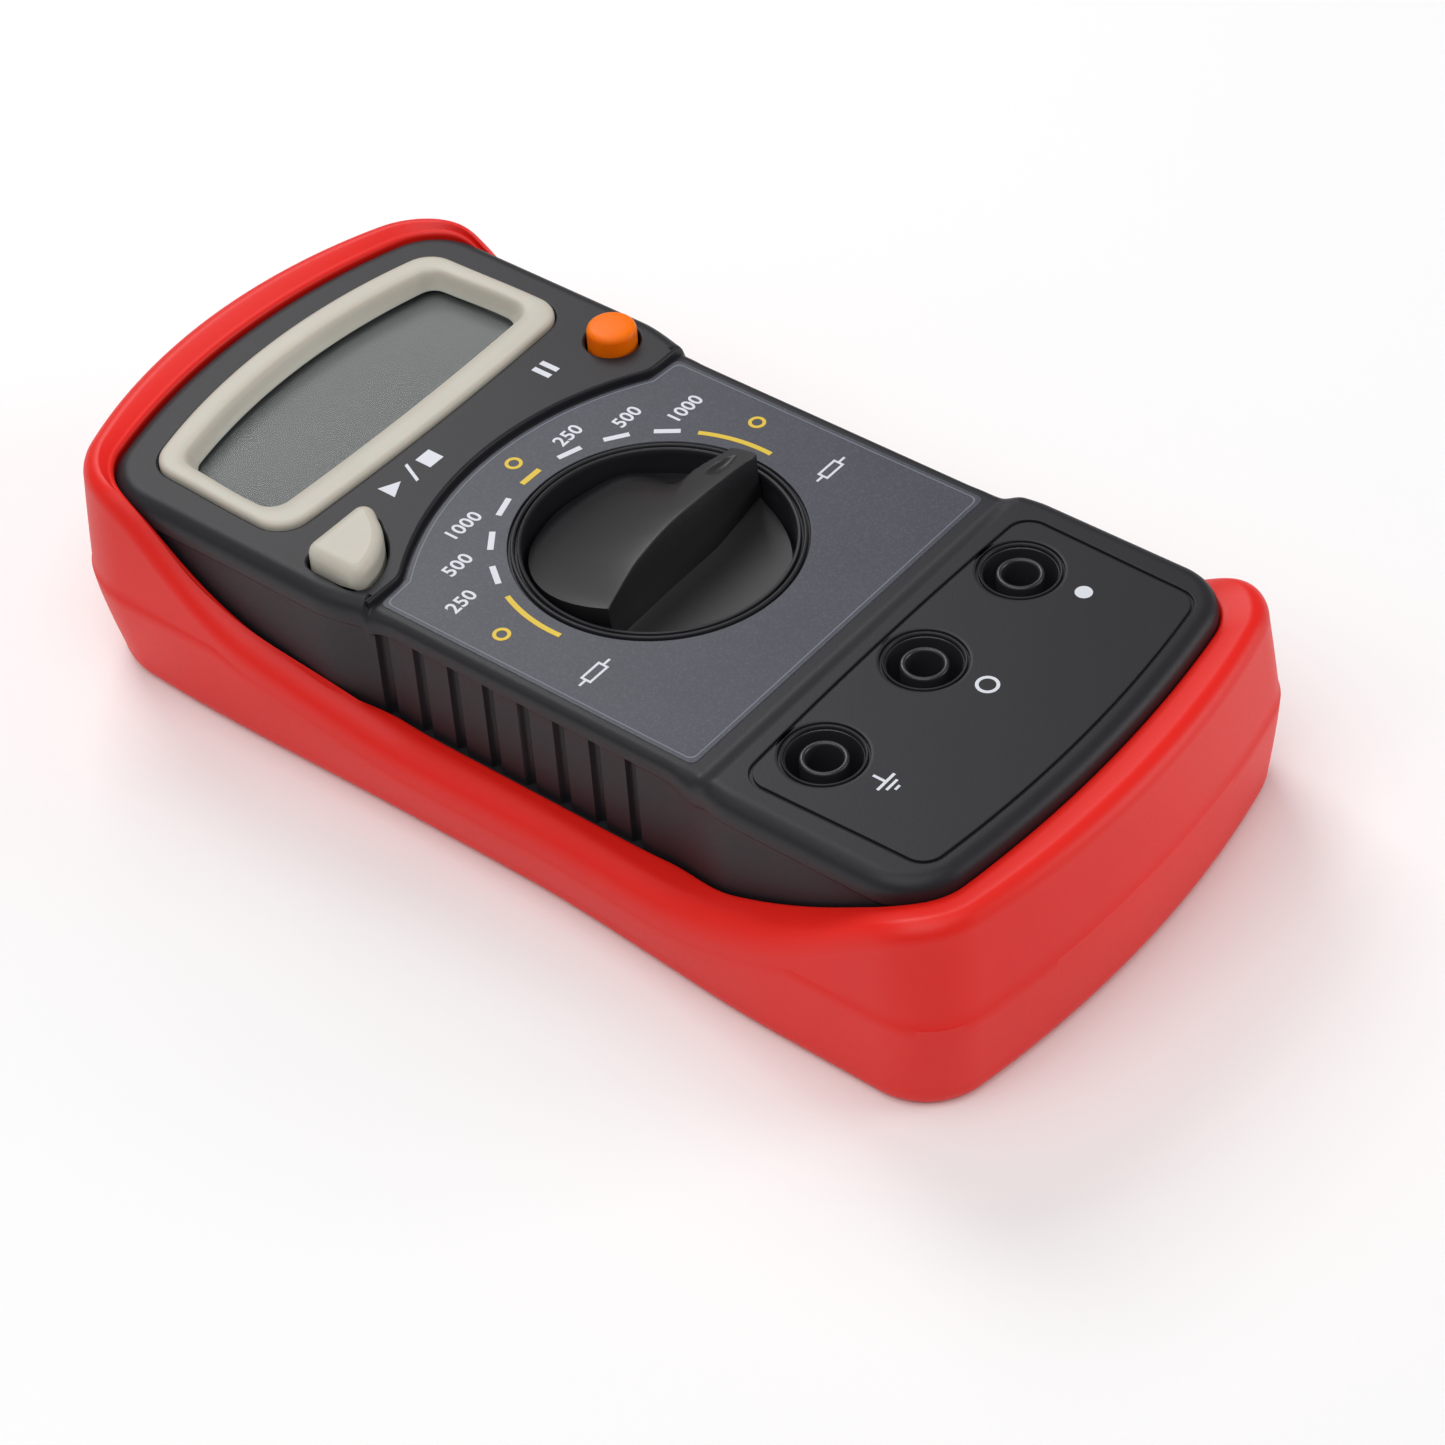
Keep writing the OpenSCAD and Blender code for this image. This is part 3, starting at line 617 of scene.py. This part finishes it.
def make_front_case():
    b = Builder()
    base = case_line(0.0, 30, 24, 900)
    N = len(base)
    n = normals(base)
    y = base[:, 1]
    zt = top_height(y)
    side = np.abs(base[:, 0]) > 27.2
    r = np.where((y > -27.5) & (y < 16), 1.15, 1.9)
    r = smooth_loop(r, 8)
    # Grip grooves and the panels between them
    groove = np.zeros(N)
    for i in range(8):
        c = 15.35 - 5.05 * i
        groove = np.maximum(groove, np.clip(1 - (np.abs(y - c) / 0.78) ** 4, 0, 1))
    groove = np.where(side, groove, 0)
    panel = np.where(side, ease((15.9 - y) / 0.5) * ease((y + 20.7) / 0.5), 0)

    def ring(inset, z, g=0.0, p=0.0):
        off = inset + groove * g + panel * p
        return lift(base - n * np.broadcast_to(off, (N,))[:, None], z)

    rows = []
    for z in (9.0, 13.0, 17.0, 20.0, 21.5):
        rows.append(ring(0.30 + 0.004 * (z - 13), z, 0.85, 0.12))
    drop = np.where((y > -27.5) & (y < 16), 2.5, 3.3)
    drop = smooth_loop(drop, 10)
    for f in np.linspace(0, 1, 9):
        e = float(ease(np.array(f)))
        rows.append(ring(0.33 * (1 - e), zt - drop - 0.45 + 0.65 * f, 0.85 * (1 - e ** 2), 0.12 * (1 - e)))
    for k in range(9):
        a = math.pi / 2 * k / 8
        rows.append(ring(r * (1 - math.cos(a)), zt - r + r * math.sin(a)))
    inner_off = r + 0.3
    rows.append(ring(inner_off, zt))
    b.rings(rows, True)
    inner = base - n * inner_off[:, None]
    # Display zone
    arch = arch_line(220)
    rim = rim_rings(arch, 0.35, FACE_Z, 26.0, +1, closed=False)
    b.rings(rim, closed=False)
    cut = rim[0][:, :2]
    head = clip_rows(inner, lambda p: p[:, 1] > 17.35)
    xr, xl = head[0][0], head[-1][0]
    mid = cut[(cut[:, 0] > xl + 0.05) & (cut[:, 0] < xr - 0.05)]
    outer = np.concatenate([head, mid])
    holes = []
    bez = bezel_line(-0.1)
    tst = test_loop(-0.35)
    hld = circle_loop(*HOLD_AT, 3.35, 64)
    for opening, floor in ((bez, 25.9), (tst, 23.5), (hld, 23.5)):
        rr = rim_rings(opening, 0.3, FACE_Z, floor, -1)
        b.rings(rr, True, flip=True)
        holes.append(rr[0][:, :2])
    b.cap([outer] + holes, FACE_Z)
    # Dial zone
    body_r = clip_rows(inner, lambda p: (p[:, 0] > 0) & (p[:, 1] > -28.9) & (p[:, 1] < 17.3))
    body_l = clip_rows(inner, lambda p: (p[:, 0] < 0) & (p[:, 1] > -28.9) & (p[:, 1] < 17.3))
    top = arch_line(80, 0.5)[::-1]
    top = top[(top[:, 0] < 25.5) & (top[:, 0] > -25.5)]
    dial = np.concatenate([body_r, top, body_l])
    b.cap([dial, circle_loop(0, DIAL_Y, 17.4, 120)], DIAL_Z)
    # Slope up to the socket zone
    def inner_x(yy):
        s = inner[(inner[:, 0] > 20)]
        s = s[np.argsort(s[:, 1])]
        return np.interp(yy, s[:, 1], s[:, 0])
    foot = clip_rows(inner, lambda p: p[:, 1] < -31.75)
    right = (inner[:, 0] > 20) & (inner[:, 1] < 0)
    order = np.argsort(inner[right][:, 1])
    edge_y, edge_z = inner[right][order][:, 1], zt[right][order]
    rows = []
    for yy in np.linspace(body_r[0][1], foot[-1][1], 14):
        w = float(inner_x(yy))
        xs = np.linspace(w, -w, 24)
        rows.append(np.stack([xs, np.full(24, yy), np.full(24, np.interp(yy, edge_y, edge_z))], 1))
    b.rings(rows[::-1], closed=False)
    # Socket zone
    b1 = rim_rings(border_loop(0), 0.1, FACE_Z, 27.15, -1, 3)
    b.rings(b1, True, flip=True)
    b.cap([foot, b1[0][:, :2]], FACE_Z)
    b2 = rim_rings(border_loop(0.42), 0.1, FACE_Z, 27.15, +1, 3)
    b.rings(b2, True)
    b.cap([b1[-1][:, :2], b2[-1][:, :2]], 27.16)
    wells = [circle_loop(*at, 5.3, 96) for at in SOCKETS]
    b.cap([b2[0][:, :2]] + wells, FACE_Z)
    # Ring round each socket and the well inside it
    prof = [(5.3, 27.5), (5.02, 27.5), (4.95, 27.47), (4.92, 27.4), (4.90, 27.1), (4.68, 27.1),
            (4.66, 27.38), (4.62, 27.46), (4.55, 27.5), (4.46, 27.48), (4.36, 27.4), (4.31, 27.28),
            (4.3, 27.1), (4.28, 20.3), (4.2, 20.05), (4.0, 20.0), (2.7, 20.0)]
    for at in SOCKETS:
        b.lathe(prof, at, 96, flip=True)
    # Ring round the knob and the well under it
    ring_prof = [(17.4, 26.5), (17.06, 26.5), (17.0, 26.44), (16.98, 26.2), (16.74, 26.2), (16.72, 26.55),
                 (16.66, 26.66), (16.55, 26.72), (16.40, 26.72), (16.30, 26.66), (16.24, 26.55),
                 (16.22, 26.15), (16.0, 26.15), (15.98, 26.5), (15.93, 26.62), (15.84, 26.68),
                 (15.70, 26.68), (15.56, 26.6), (15.46, 26.4), (15.42, 26.0), (15.4, 21.7),
                 (15.3, 21.45), (15.1, 21.3), (3.5, 21.3), (3.5, 20.0)]
    b.lathe(ring_prof, (0, DIAL_Y), 180, flip=True)
    b.make("front_shell", "tester", "case_plastic", ["front_case"], smooth=32)


# ---------------------------------------------------------------- dial label and its marks
def label_loop(g):
    """The dial plate's outline, g inside its edge."""
    xs = np.linspace(21.5, -21.5, 90)
    ys = -16.8 + np.sqrt((39.95 - g) ** 2 - xs ** 2)
    x1, y0, y1, rc = 26.3 - g, -27.9 + g, 16.55 - g, 0.9
    return np.concatenate([arc(x1 - rc, y0 + rc, rc, -90, 0, 6), arc(x1 - rc, y1 - rc, rc, 0, 90, 6),
                           np.stack([xs, np.maximum(ys, y1)], 1),
                           arc(-x1 + rc, y1 - rc, rc, 90, 180, 6), arc(-x1 + rc, y0 + rc, rc, 180, 270, 6)])


def make_label():
    b = Builder()
    rim = rim_rings(label_loop(0.0), 0.06, PLATE_Z, DIAL_Z - 0.1, +1, 3)
    b.rings(rim, True)
    hole = circle_loop(0, DIAL_Y, 17.05, 180)
    hr = rim_rings(hole, 0.05, PLATE_Z, DIAL_Z - 0.1, -1, 3)
    b.rings(hr, True, flip=True)
    b.cap([rim[0][:, :2], hr[0][:, :2]], PLATE_Z)
    b.make("dial_plate", "tester", "label_film", ["dial_label"], smooth=30)


def ink_piece(name, loops, z, slot):
    b = Builder()
    for lp in loops:
        b.cap([lp], z + INK)
        b.rings([lift(lp, z + INK), lift(lp, z - INK_ROOT)], True)
    b.make(name, "tester", slot, [], smooth=30)


def sector(r0, r1, a0, a1):
    """A curved bar round the dial."""
    return np.concatenate([arc(0, DIAL_Y, r1, a0, a1, 16), arc(0, DIAL_Y, r0, a1, a0, 16)])


def bar(angle):
    """One scale mark, square to the radius."""
    r, long, thick = 18.85, 3.1, 0.72
    a = math.radians(angle)
    c = np.array([r * math.cos(a), DIAL_Y + r * math.sin(a)])
    t = np.array([-math.sin(a), math.cos(a)])
    n = np.array([math.cos(a), math.sin(a)])
    return np.array([c + n * (thick / 2 * sx) + t * (long / 2 * sy)
                     for sx, sy in ((1, -1), (1, 1), (-1, 1), (-1, -1))])


def rect_loop(x0, x1, y0, y1):
    return np.array([(x0, y0), (x1, y0), (x1, y1), (x0, y1)], float)


def box_frame(cx, cy, w, h, t):
    """Four bars round a rectangle."""
    x0, x1, y0, y1 = cx - w / 2, cx + w / 2, cy - h / 2, cy + h / 2
    return [rect_loop(x0, x1, y0, y0 + t), rect_loop(x0, x1, y1 - t, y1),
            rect_loop(x0, x0 + t, y0 + t, y1 - t), rect_loop(x1 - t, x1, y0 + t, y1 - t)]


def rings_piece(name, spots, r1, r0, z, slot):
    """Flat rings of one size, in ink."""
    b = Builder()
    for x, y in spots:
        o, i = circle_loop(x, y, r1, 40), circle_loop(x, y, r0, 40)
        b.cap([o, i], z + INK)
        b.rings([lift(o, z + INK), lift(o, z - INK_ROOT)], True)
        b.rings([lift(i, z + INK), lift(i, z - INK_ROOT)], True, flip=True)
    b.make(name, "tester", slot, [], smooth=30)


def numeral(text, x, y):
    """A number on the dial, as a thin mesh."""
    name = "numeral_%s_%s" % (text, "left" if x < 0 else "right")
    cu = bpy.data.curves.new(name, "FONT")
    cu.body = text
    cu.size = 2.55 * MM
    cu.align_x, cu.align_y = "CENTER", "CENTER"
    cu.extrude = 0.02 * MM
    cu.offset = 0.045 * MM
    cu.space_character = 1.04
    tmp = bpy.data.objects.new(name + "_tmp", cu)
    bpy.context.collection.objects.link(tmp)
    dg = bpy.context.evaluated_depsgraph_get()
    me = bpy.data.meshes.new_from_object(tmp.evaluated_get(dg))
    bpy.data.objects.remove(tmp)
    o = bpy.data.objects.new(name, me)
    bpy.context.collection.objects.link(o)
    me.transform(Matrix.Translation((x * MM, y * MM, (DIAL_Z + 0.085) * MM)))
    me.materials.clear()
    me.materials.append(MATS["ink_white"])
    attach(o, "tester")


def make_marks():
    z = PLATE_Z
    white = [bar(a) for a in (36, 54, 72, 108, 126, 144)]
    ink_piece("scale_bars", white, z, "ink_white")
    yellow = [bar(90), sector(18.5, 19.15, 156, 184), sector(18.5, 19.15, -4, 25)]
    ink_piece("off_arcs", yellow, z, "ink_yellow")
    # A plain ring stands for each resting place
    rings_piece("rest_rings", ((-22.3, 2.1), (0.7, 20.0), (22.4, 1.5)), 1.05, 0.62, z, "ink_yellow")
    # Fine frame line inside the edge of the plate
    b = Builder()
    outer, inner_line = label_loop(0.5), label_loop(0.66)
    b.rings([lift(outer, z - 0.01), lift(outer, z + 0.02),
             lift(inner_line, z + 0.02), lift(inner_line, z - 0.01)], True)
    b.make("plate_line", "tester", "ink_grey", [], smooth=30)
    # Plain symbols: a resistor on the plate, run and stop, pause, and one for each socket
    for n, (cx, cy) in enumerate(((-21.2, -10.2), (20.5, -10.6))):
        ink_piece("resistor_sign_%d" % n, box_frame(cx, cy, 3.2, 1.5, 0.3) + [
            rect_loop(cx - 2.6, cx - 1.6, cy - 0.15, cy + 0.15),
            rect_loop(cx + 1.6, cx + 2.6, cy - 0.15, cy + 0.15)], z, "ink_white")
    zf = FACE_Z
    ink_piece("run_stop_sign", [np.array([(-12.4, 26.5), (-9.9, 27.8), (-12.4, 29.1)]),
                                np.array([(-8.9, 26.3), (-8.45, 26.3), (-7.1, 29.3), (-7.55, 29.3)]),
                                rect_loop(-6.1, -3.8, 26.65, 28.95)], zf, "ink_white")
    ink_piece("pause_sign", [rect_loop(14.1, 14.85, 26.0, 28.6), rect_loop(15.5, 16.25, 26.0, 28.6)],
              zf, "ink_white")
    ex, sign_y = -17.4, -46.6
    ink_piece("earth_sign", [rect_loop(ex - 0.17, ex + 0.17, sign_y + 0.2, sign_y + 1.7),
                             rect_loop(ex - 1.5, ex + 1.5, sign_y - 0.15, sign_y + 0.2),
                             rect_loop(ex - 0.95, ex + 0.95, sign_y - 0.9, sign_y - 0.58),
                             rect_loop(ex - 0.4, ex + 0.4, sign_y - 1.6, sign_y - 1.3)], zf, "ink_white")
    rings_piece("guard_sign", ((0.7, sign_y),), 1.35, 0.95, zf, "ink_white")
    ink_piece("line_sign", [circle_loop(18.7, sign_y, 1.0, 32)], zf, "ink_white")
    for text, x, y in (("1000", -11.0, 17.5), ("500", -16.4, 13.6), ("250", -20.8, 9.2),
                       ("250", 8.1, 18.0), ("500", 14.6, 14.5), ("1000", 19.6, 9.9)):
        numeral(text, x, y)


# ---------------------------------------------------------------- display
def make_display():
    b = Builder()
    outer, hole = bezel_line, opening_line
    rings = [lift(outer(g), z) for g, z in (
        (0, 26.0), (0, 27.55), (0.04, 27.8), (0.16, 28.02), (0.38, 28.16), (0.7, 28.2))]
    rings.append(lift(outer(0.7) * 0.45 + hole(-1.3) * 0.55, 28.2))
    rings += [lift(hole(g), z) for g, z in (
        (-1.3, 28.12), (-1.1, 28.02), (-0.92, 27.82), (-0.7, 27.4), (-0.4, 26.8), (-0.15, 26.3),
        (0.0, 26.1), (0.05, 25.96))]
    b.rings(rings, True)
    b.rings([lift(hole(0.05), 25.96), lift(outer(0.0), 26.0)], True)
    b.make("display_frame", "tester", "cream_plastic", ["lcd_bezel"], smooth=40)
    w = Builder()
    rr = rim_rings(round_rect(-22.7, 22.7, 34.9, 54.1, 0.6, 5), 0.12, 25.85, 25.0, +1, 3)
    w.rings(rr, True)
    w.cap([rr[0][:, :2]], 25.85)
    w.cap([rr[-1][:, :2]], 25.0, up=False)
    w.make("display_window", "tester", "clear_window", ["lcd_window"], smooth=30)


# ---------------------------------------------------------------- knob
def curve(px, py):
    """Smooth curve near a few knots, by repeated averaging of a dense line."""
    k = 9
    g = np.linspace(px[0], px[-1], 200)
    v = np.interp(g, px, py)
    w = np.hanning(k * 2 + 3)[1:-1]
    w /= w.sum()
    for _ in range(3):
        v = np.convolve(np.pad(v, k, mode="edge"), w, mode="valid")
    return g, v


def knob_height(y, yb, yr, zr, w, steep):
    """Height of the knob's top at y, from the ridge's foot yb, line yr, height zr and flat width w."""
    step = 0.35          # rise at the ridge's foot, and drop over its flat
    gentle_run, steep_run = 17.4, 3.4
    if y <= yb:                                   # dished floor on the reader's side
        f = (yb - y) / max(1e-6, (KNOB_R + yb))
        return KNOB_FLOOR - 0.55 * math.sin(math.pi * min(1, f)) + step * math.exp(-(yb - y) / 0.35)
    if y <= yr:                                   # wall up to the ridge
        f = (y - yb) / (yr - yb)
        return KNOB_FLOOR + step + (zr - KNOB_FLOOR - step) * f
    d = y - yr
    gentle = zr - (zr - KNOB_FLOOR) * min(1.0, (d / gentle_run)) ** 1.22
    if steep > 0:
        f = min(1, max(0, (d - w) / steep_run))
        crest = step * (d / max(w, 0.1)) ** 2 if d < w else step
        cliff = max(zr - crest - (zr - step - KNOB_FLOOR) * (1 - (1 - f) ** 2.2), KNOB_FLOOR)
        if cliff < gentle:
            return gentle * (1 - steep) + cliff * steep
    return gentle


def dimple(x, y, z):
    """Height of the knob's top with the teardrop dimple near the tip cut in."""
    x, y = x - 10.9, y - DIAL_Y + 0.55
    w = 0.95 * (1 - 0.35 * (x / 2.2))
    q = (x / 2.3) ** 2 + (y / max(w, 0.2)) ** 2
    if q < 1.35 and z > 27:
        z -= 0.55 * max(0.0, 1 - q / 1.35) ** 1.2
    return z


def make_knob():
    R = KNOB_R
    # Along the ridge: its foot, its line, its height, the width of its flat and how steep the far side is
    base_y = curve([-R, -11.7, -2.8, 4.8, 12.7, R], [-4.9, -4.8, -4.45, -4.45, -3.2, -2.9])
    ridge_y = curve([-R, -12, -8, -1, 5.5, 10, R], [-4.55, -4.1, -3.35, -2.85, -2.9, -2.85, -2.75])
    ridge_z = curve([-R, -11, -8, -4, 1, 6, 10, R], [28.4, 29.5, 30.2, 30.8, 31.0, 30.85, 30.6, 30.1])
    plat = curve([-R, 0, 5, 8.5, 12, R], [0.4, 1.6, 3.8, 5.0, 4.4, 3.6])
    steep = curve([-R, 4.0, 8.0, 10.5, R], [0.0, 0.0, 0.25, 0.95, 1.0])
    t_near, t_wall, t_far = (np.linspace(0, 1, n) for n in (22, 12, 60))
    top = len(t_near) + len(t_wall) - 2
    cols = []
    for x in R * np.sin(np.linspace(-math.pi / 2 * 0.995, math.pi / 2 * 0.995, 150)):
        c = math.sqrt(max(R * R - x * x, 0.0))
        yb, yr, zr, w, st = (float(np.interp(x, *q)) for q in (base_y, ridge_y, ridge_z, plat, steep))
        wall, far = max(yb, -c), min(max(yr, -c), c)
        ys = list(-c + (yb + c) * t_near) if yb > -c else [-c] * len(t_near)
        ys += list(wall + (max(yr, -c) - wall) * t_wall[1:])
        ys += list(far + (c - far) * t_far[1:] ** 1.15)
        zs = [knob_height(y, yb, yr, zr, w, st) for y in ys]
        zs[top] -= 0.10                           # the ridge is a little round
        cols.append(np.array([(x, DIAL_Y + y, dimple(x, DIAL_Y + y, z)) for y, z in zip(ys, zs)]))
    b = Builder()
    b.rings(cols, closed=False, flip=True)
    # Wall round the edge, from the top surface down
    edge = np.array([c[0] for c in cols] + [c[-1] for c in cols][::-1])
    low = edge.copy()
    low[:, 2] = np.minimum(edge[:, 2], 22.0)
    foot = low.copy()
    foot[:, 2] = 21.6
    foot[:, :2] = np.array([0, DIAL_Y]) + (low[:, :2] - np.array([0, DIAL_Y])) * 0.98
    b.rings([edge, low, foot], True)
    b.cap([foot[:, :2]], 21.6, up=False)
    b.lathe([(3.44, 21.7), (3.44, 17.6), (3.2, 17.4), (1.0, 17.4)], (0, DIAL_Y), 48, flip=True)
    b.make("range_grip", "knob", "knob_plastic", ["range_knob"], smooth=38)


# ---------------------------------------------------------------- buttons
def make_buttons():
    b = Builder()
    rows = [(0.0, 23.0), (0.02, 28.7), (0.07, 29.0), (0.19, 29.3), (0.38, 29.56), (0.64, 29.76),
            (0.95, 29.88), (1.3, 29.93)]
    rings = [lift(test_loop(g), z) for g, z in rows]
    b.rings(rings, True)
    b.cap([test_loop(1.3)], 29.93)
    b.rings([lift(test_loop(0.0), 23.0), lift(test_loop(0.9), 23.0)], True, flip=True)
    b.cap([test_loop(0.9)], 23.0, up=False)
    # Stem down to its switch
    b.lathe([(0.05, 21.4), (1.3, 21.4), (1.5, 21.6), (1.5, 23.05)], (-21.8, 22.6), 32)
    b.make("test_cap", "test_key", "cream_plastic", ["test_button"], smooth=40)
    b = Builder()
    prof = [(0.02, 23.0), (2.7, 23.0), (2.7, 24.0), (3.0, 24.0), (3.0, 28.9), (2.97, 29.15), (2.86, 29.38),
            (2.66, 29.56), (2.4, 29.66), (1.6, 29.74), (0.8, 29.77), (0.02, 29.78)]
    b.lathe(prof, HOLD_AT, 72)
    # Stem down to its switch, a little off the cap's centre
    b.lathe([(0.05, 21.4), (1.0, 21.4), (1.1, 21.5), (1.1, 23.05)], (23, 24.1), 32)
    b.make("hold_cap", "hold_key", "orange_plastic", ["hold_button"], smooth=40)


# ---------------------------------------------------------------- sockets
def make_sockets():
    tube = [(2.05, 19.0), (2.05, 26.8), (2.1, 26.96), (2.22, 27.07), (2.38, 27.1), (2.54, 27.07),
            (2.66, 26.96), (2.7, 26.8), (2.7, 20.05), (2.7, 19.0), (2.05, 19.0)]
    liner = [(4.29, 27.0), (4.2, 26.95), (4.15, 26.8), (4.12, 20.2), (4.0, 20.04), (2.75, 20.02)]
    b = Builder()
    for at in SOCKETS:
        for prof in (tube, liner):
            b.lathe(prof, at, 64, flip=True)
    b.make("socket_liners", "tester", "sleeve_plastic", ["socket_sleeves"], smooth=40)


# ---------------------------------------------------------------- stand
def make_stand():
    b = Builder()
    outer = round_rect(-15.5, 15.5, -28, 22.6, 2.0)
    inner = round_rect(-9.5, 9.5, -20, 14, 2.0)
    for z, up in ((2.4, True), (0.7, False)):
        s = 1 if up else -1
        for lp, side in ((outer, 1), (inner, -1)):
            n = normals(lp) * side
            rings = [lift(lp - n * 0.53, z)]
            for k in range(6):
                a = math.pi / 2 * k / 5
                rings.append(lift(lp - n * (0.5 - 0.5 * math.sin(a)), z - s * (0.5 - 0.5 * math.cos(a))))
            rings.append(lift(lp, 1.55))
            b.rings(rings, True, flip=(side < 0) ^ (not up))
        n1, n2 = normals(outer), normals(inner)
        b.cap([outer - n1 * 0.53, inner + n2 * 0.53], z, up=up)
    # Hinge barrel with a pin at each end
    bar_prof = [(0.02, -18.0), (0.9, -18.0), (1.2, -17.7), (1.2, -15.5), (1.4, -15.5), (1.5, -15.3),
                (1.5, 15.3), (1.4, 15.5), (1.2, 15.5), (1.2, 17.7), (0.9, 18.0), (0.02, 18.0)]
    b.lathe(bar_prof, (22.0, 2.2), 40, axis="x")
    # Grip ridges at the foot
    for k in range(5):
        yk = -26.2 + k * 1.1
        rr = round_rect(-7, 7, yk, yk + 0.55, 0.25)
        face = rr - normals(rr) * 0.2
        b.rings([lift(rr, 0.72), lift(rr - normals(rr) * 0.08, 0.56), lift(face, 0.52)], True, flip=True)
        b.cap([face], 0.52, up=False)
    b.make("bail", "stand", "case_plastic", ["tilt_stand"], smooth=40)


def finish_cad_nodes():
    """Gives every CAD node that still shows its own procedural finish."""
    slot_of = {s["node"]: s["material_slot"] for s in frame["record"]["subparts"]}
    for name, o in frame["nodes"].items():
        o.data.materials.clear()
        o.data.materials.append(MATS[slot_of[name]])


make_materials()
make_studio()
finish_cad_nodes()
make_holster()
make_front_case()
make_label()
make_marks()
make_display()
make_knob()
make_buttons()
make_sockets()
make_stand()
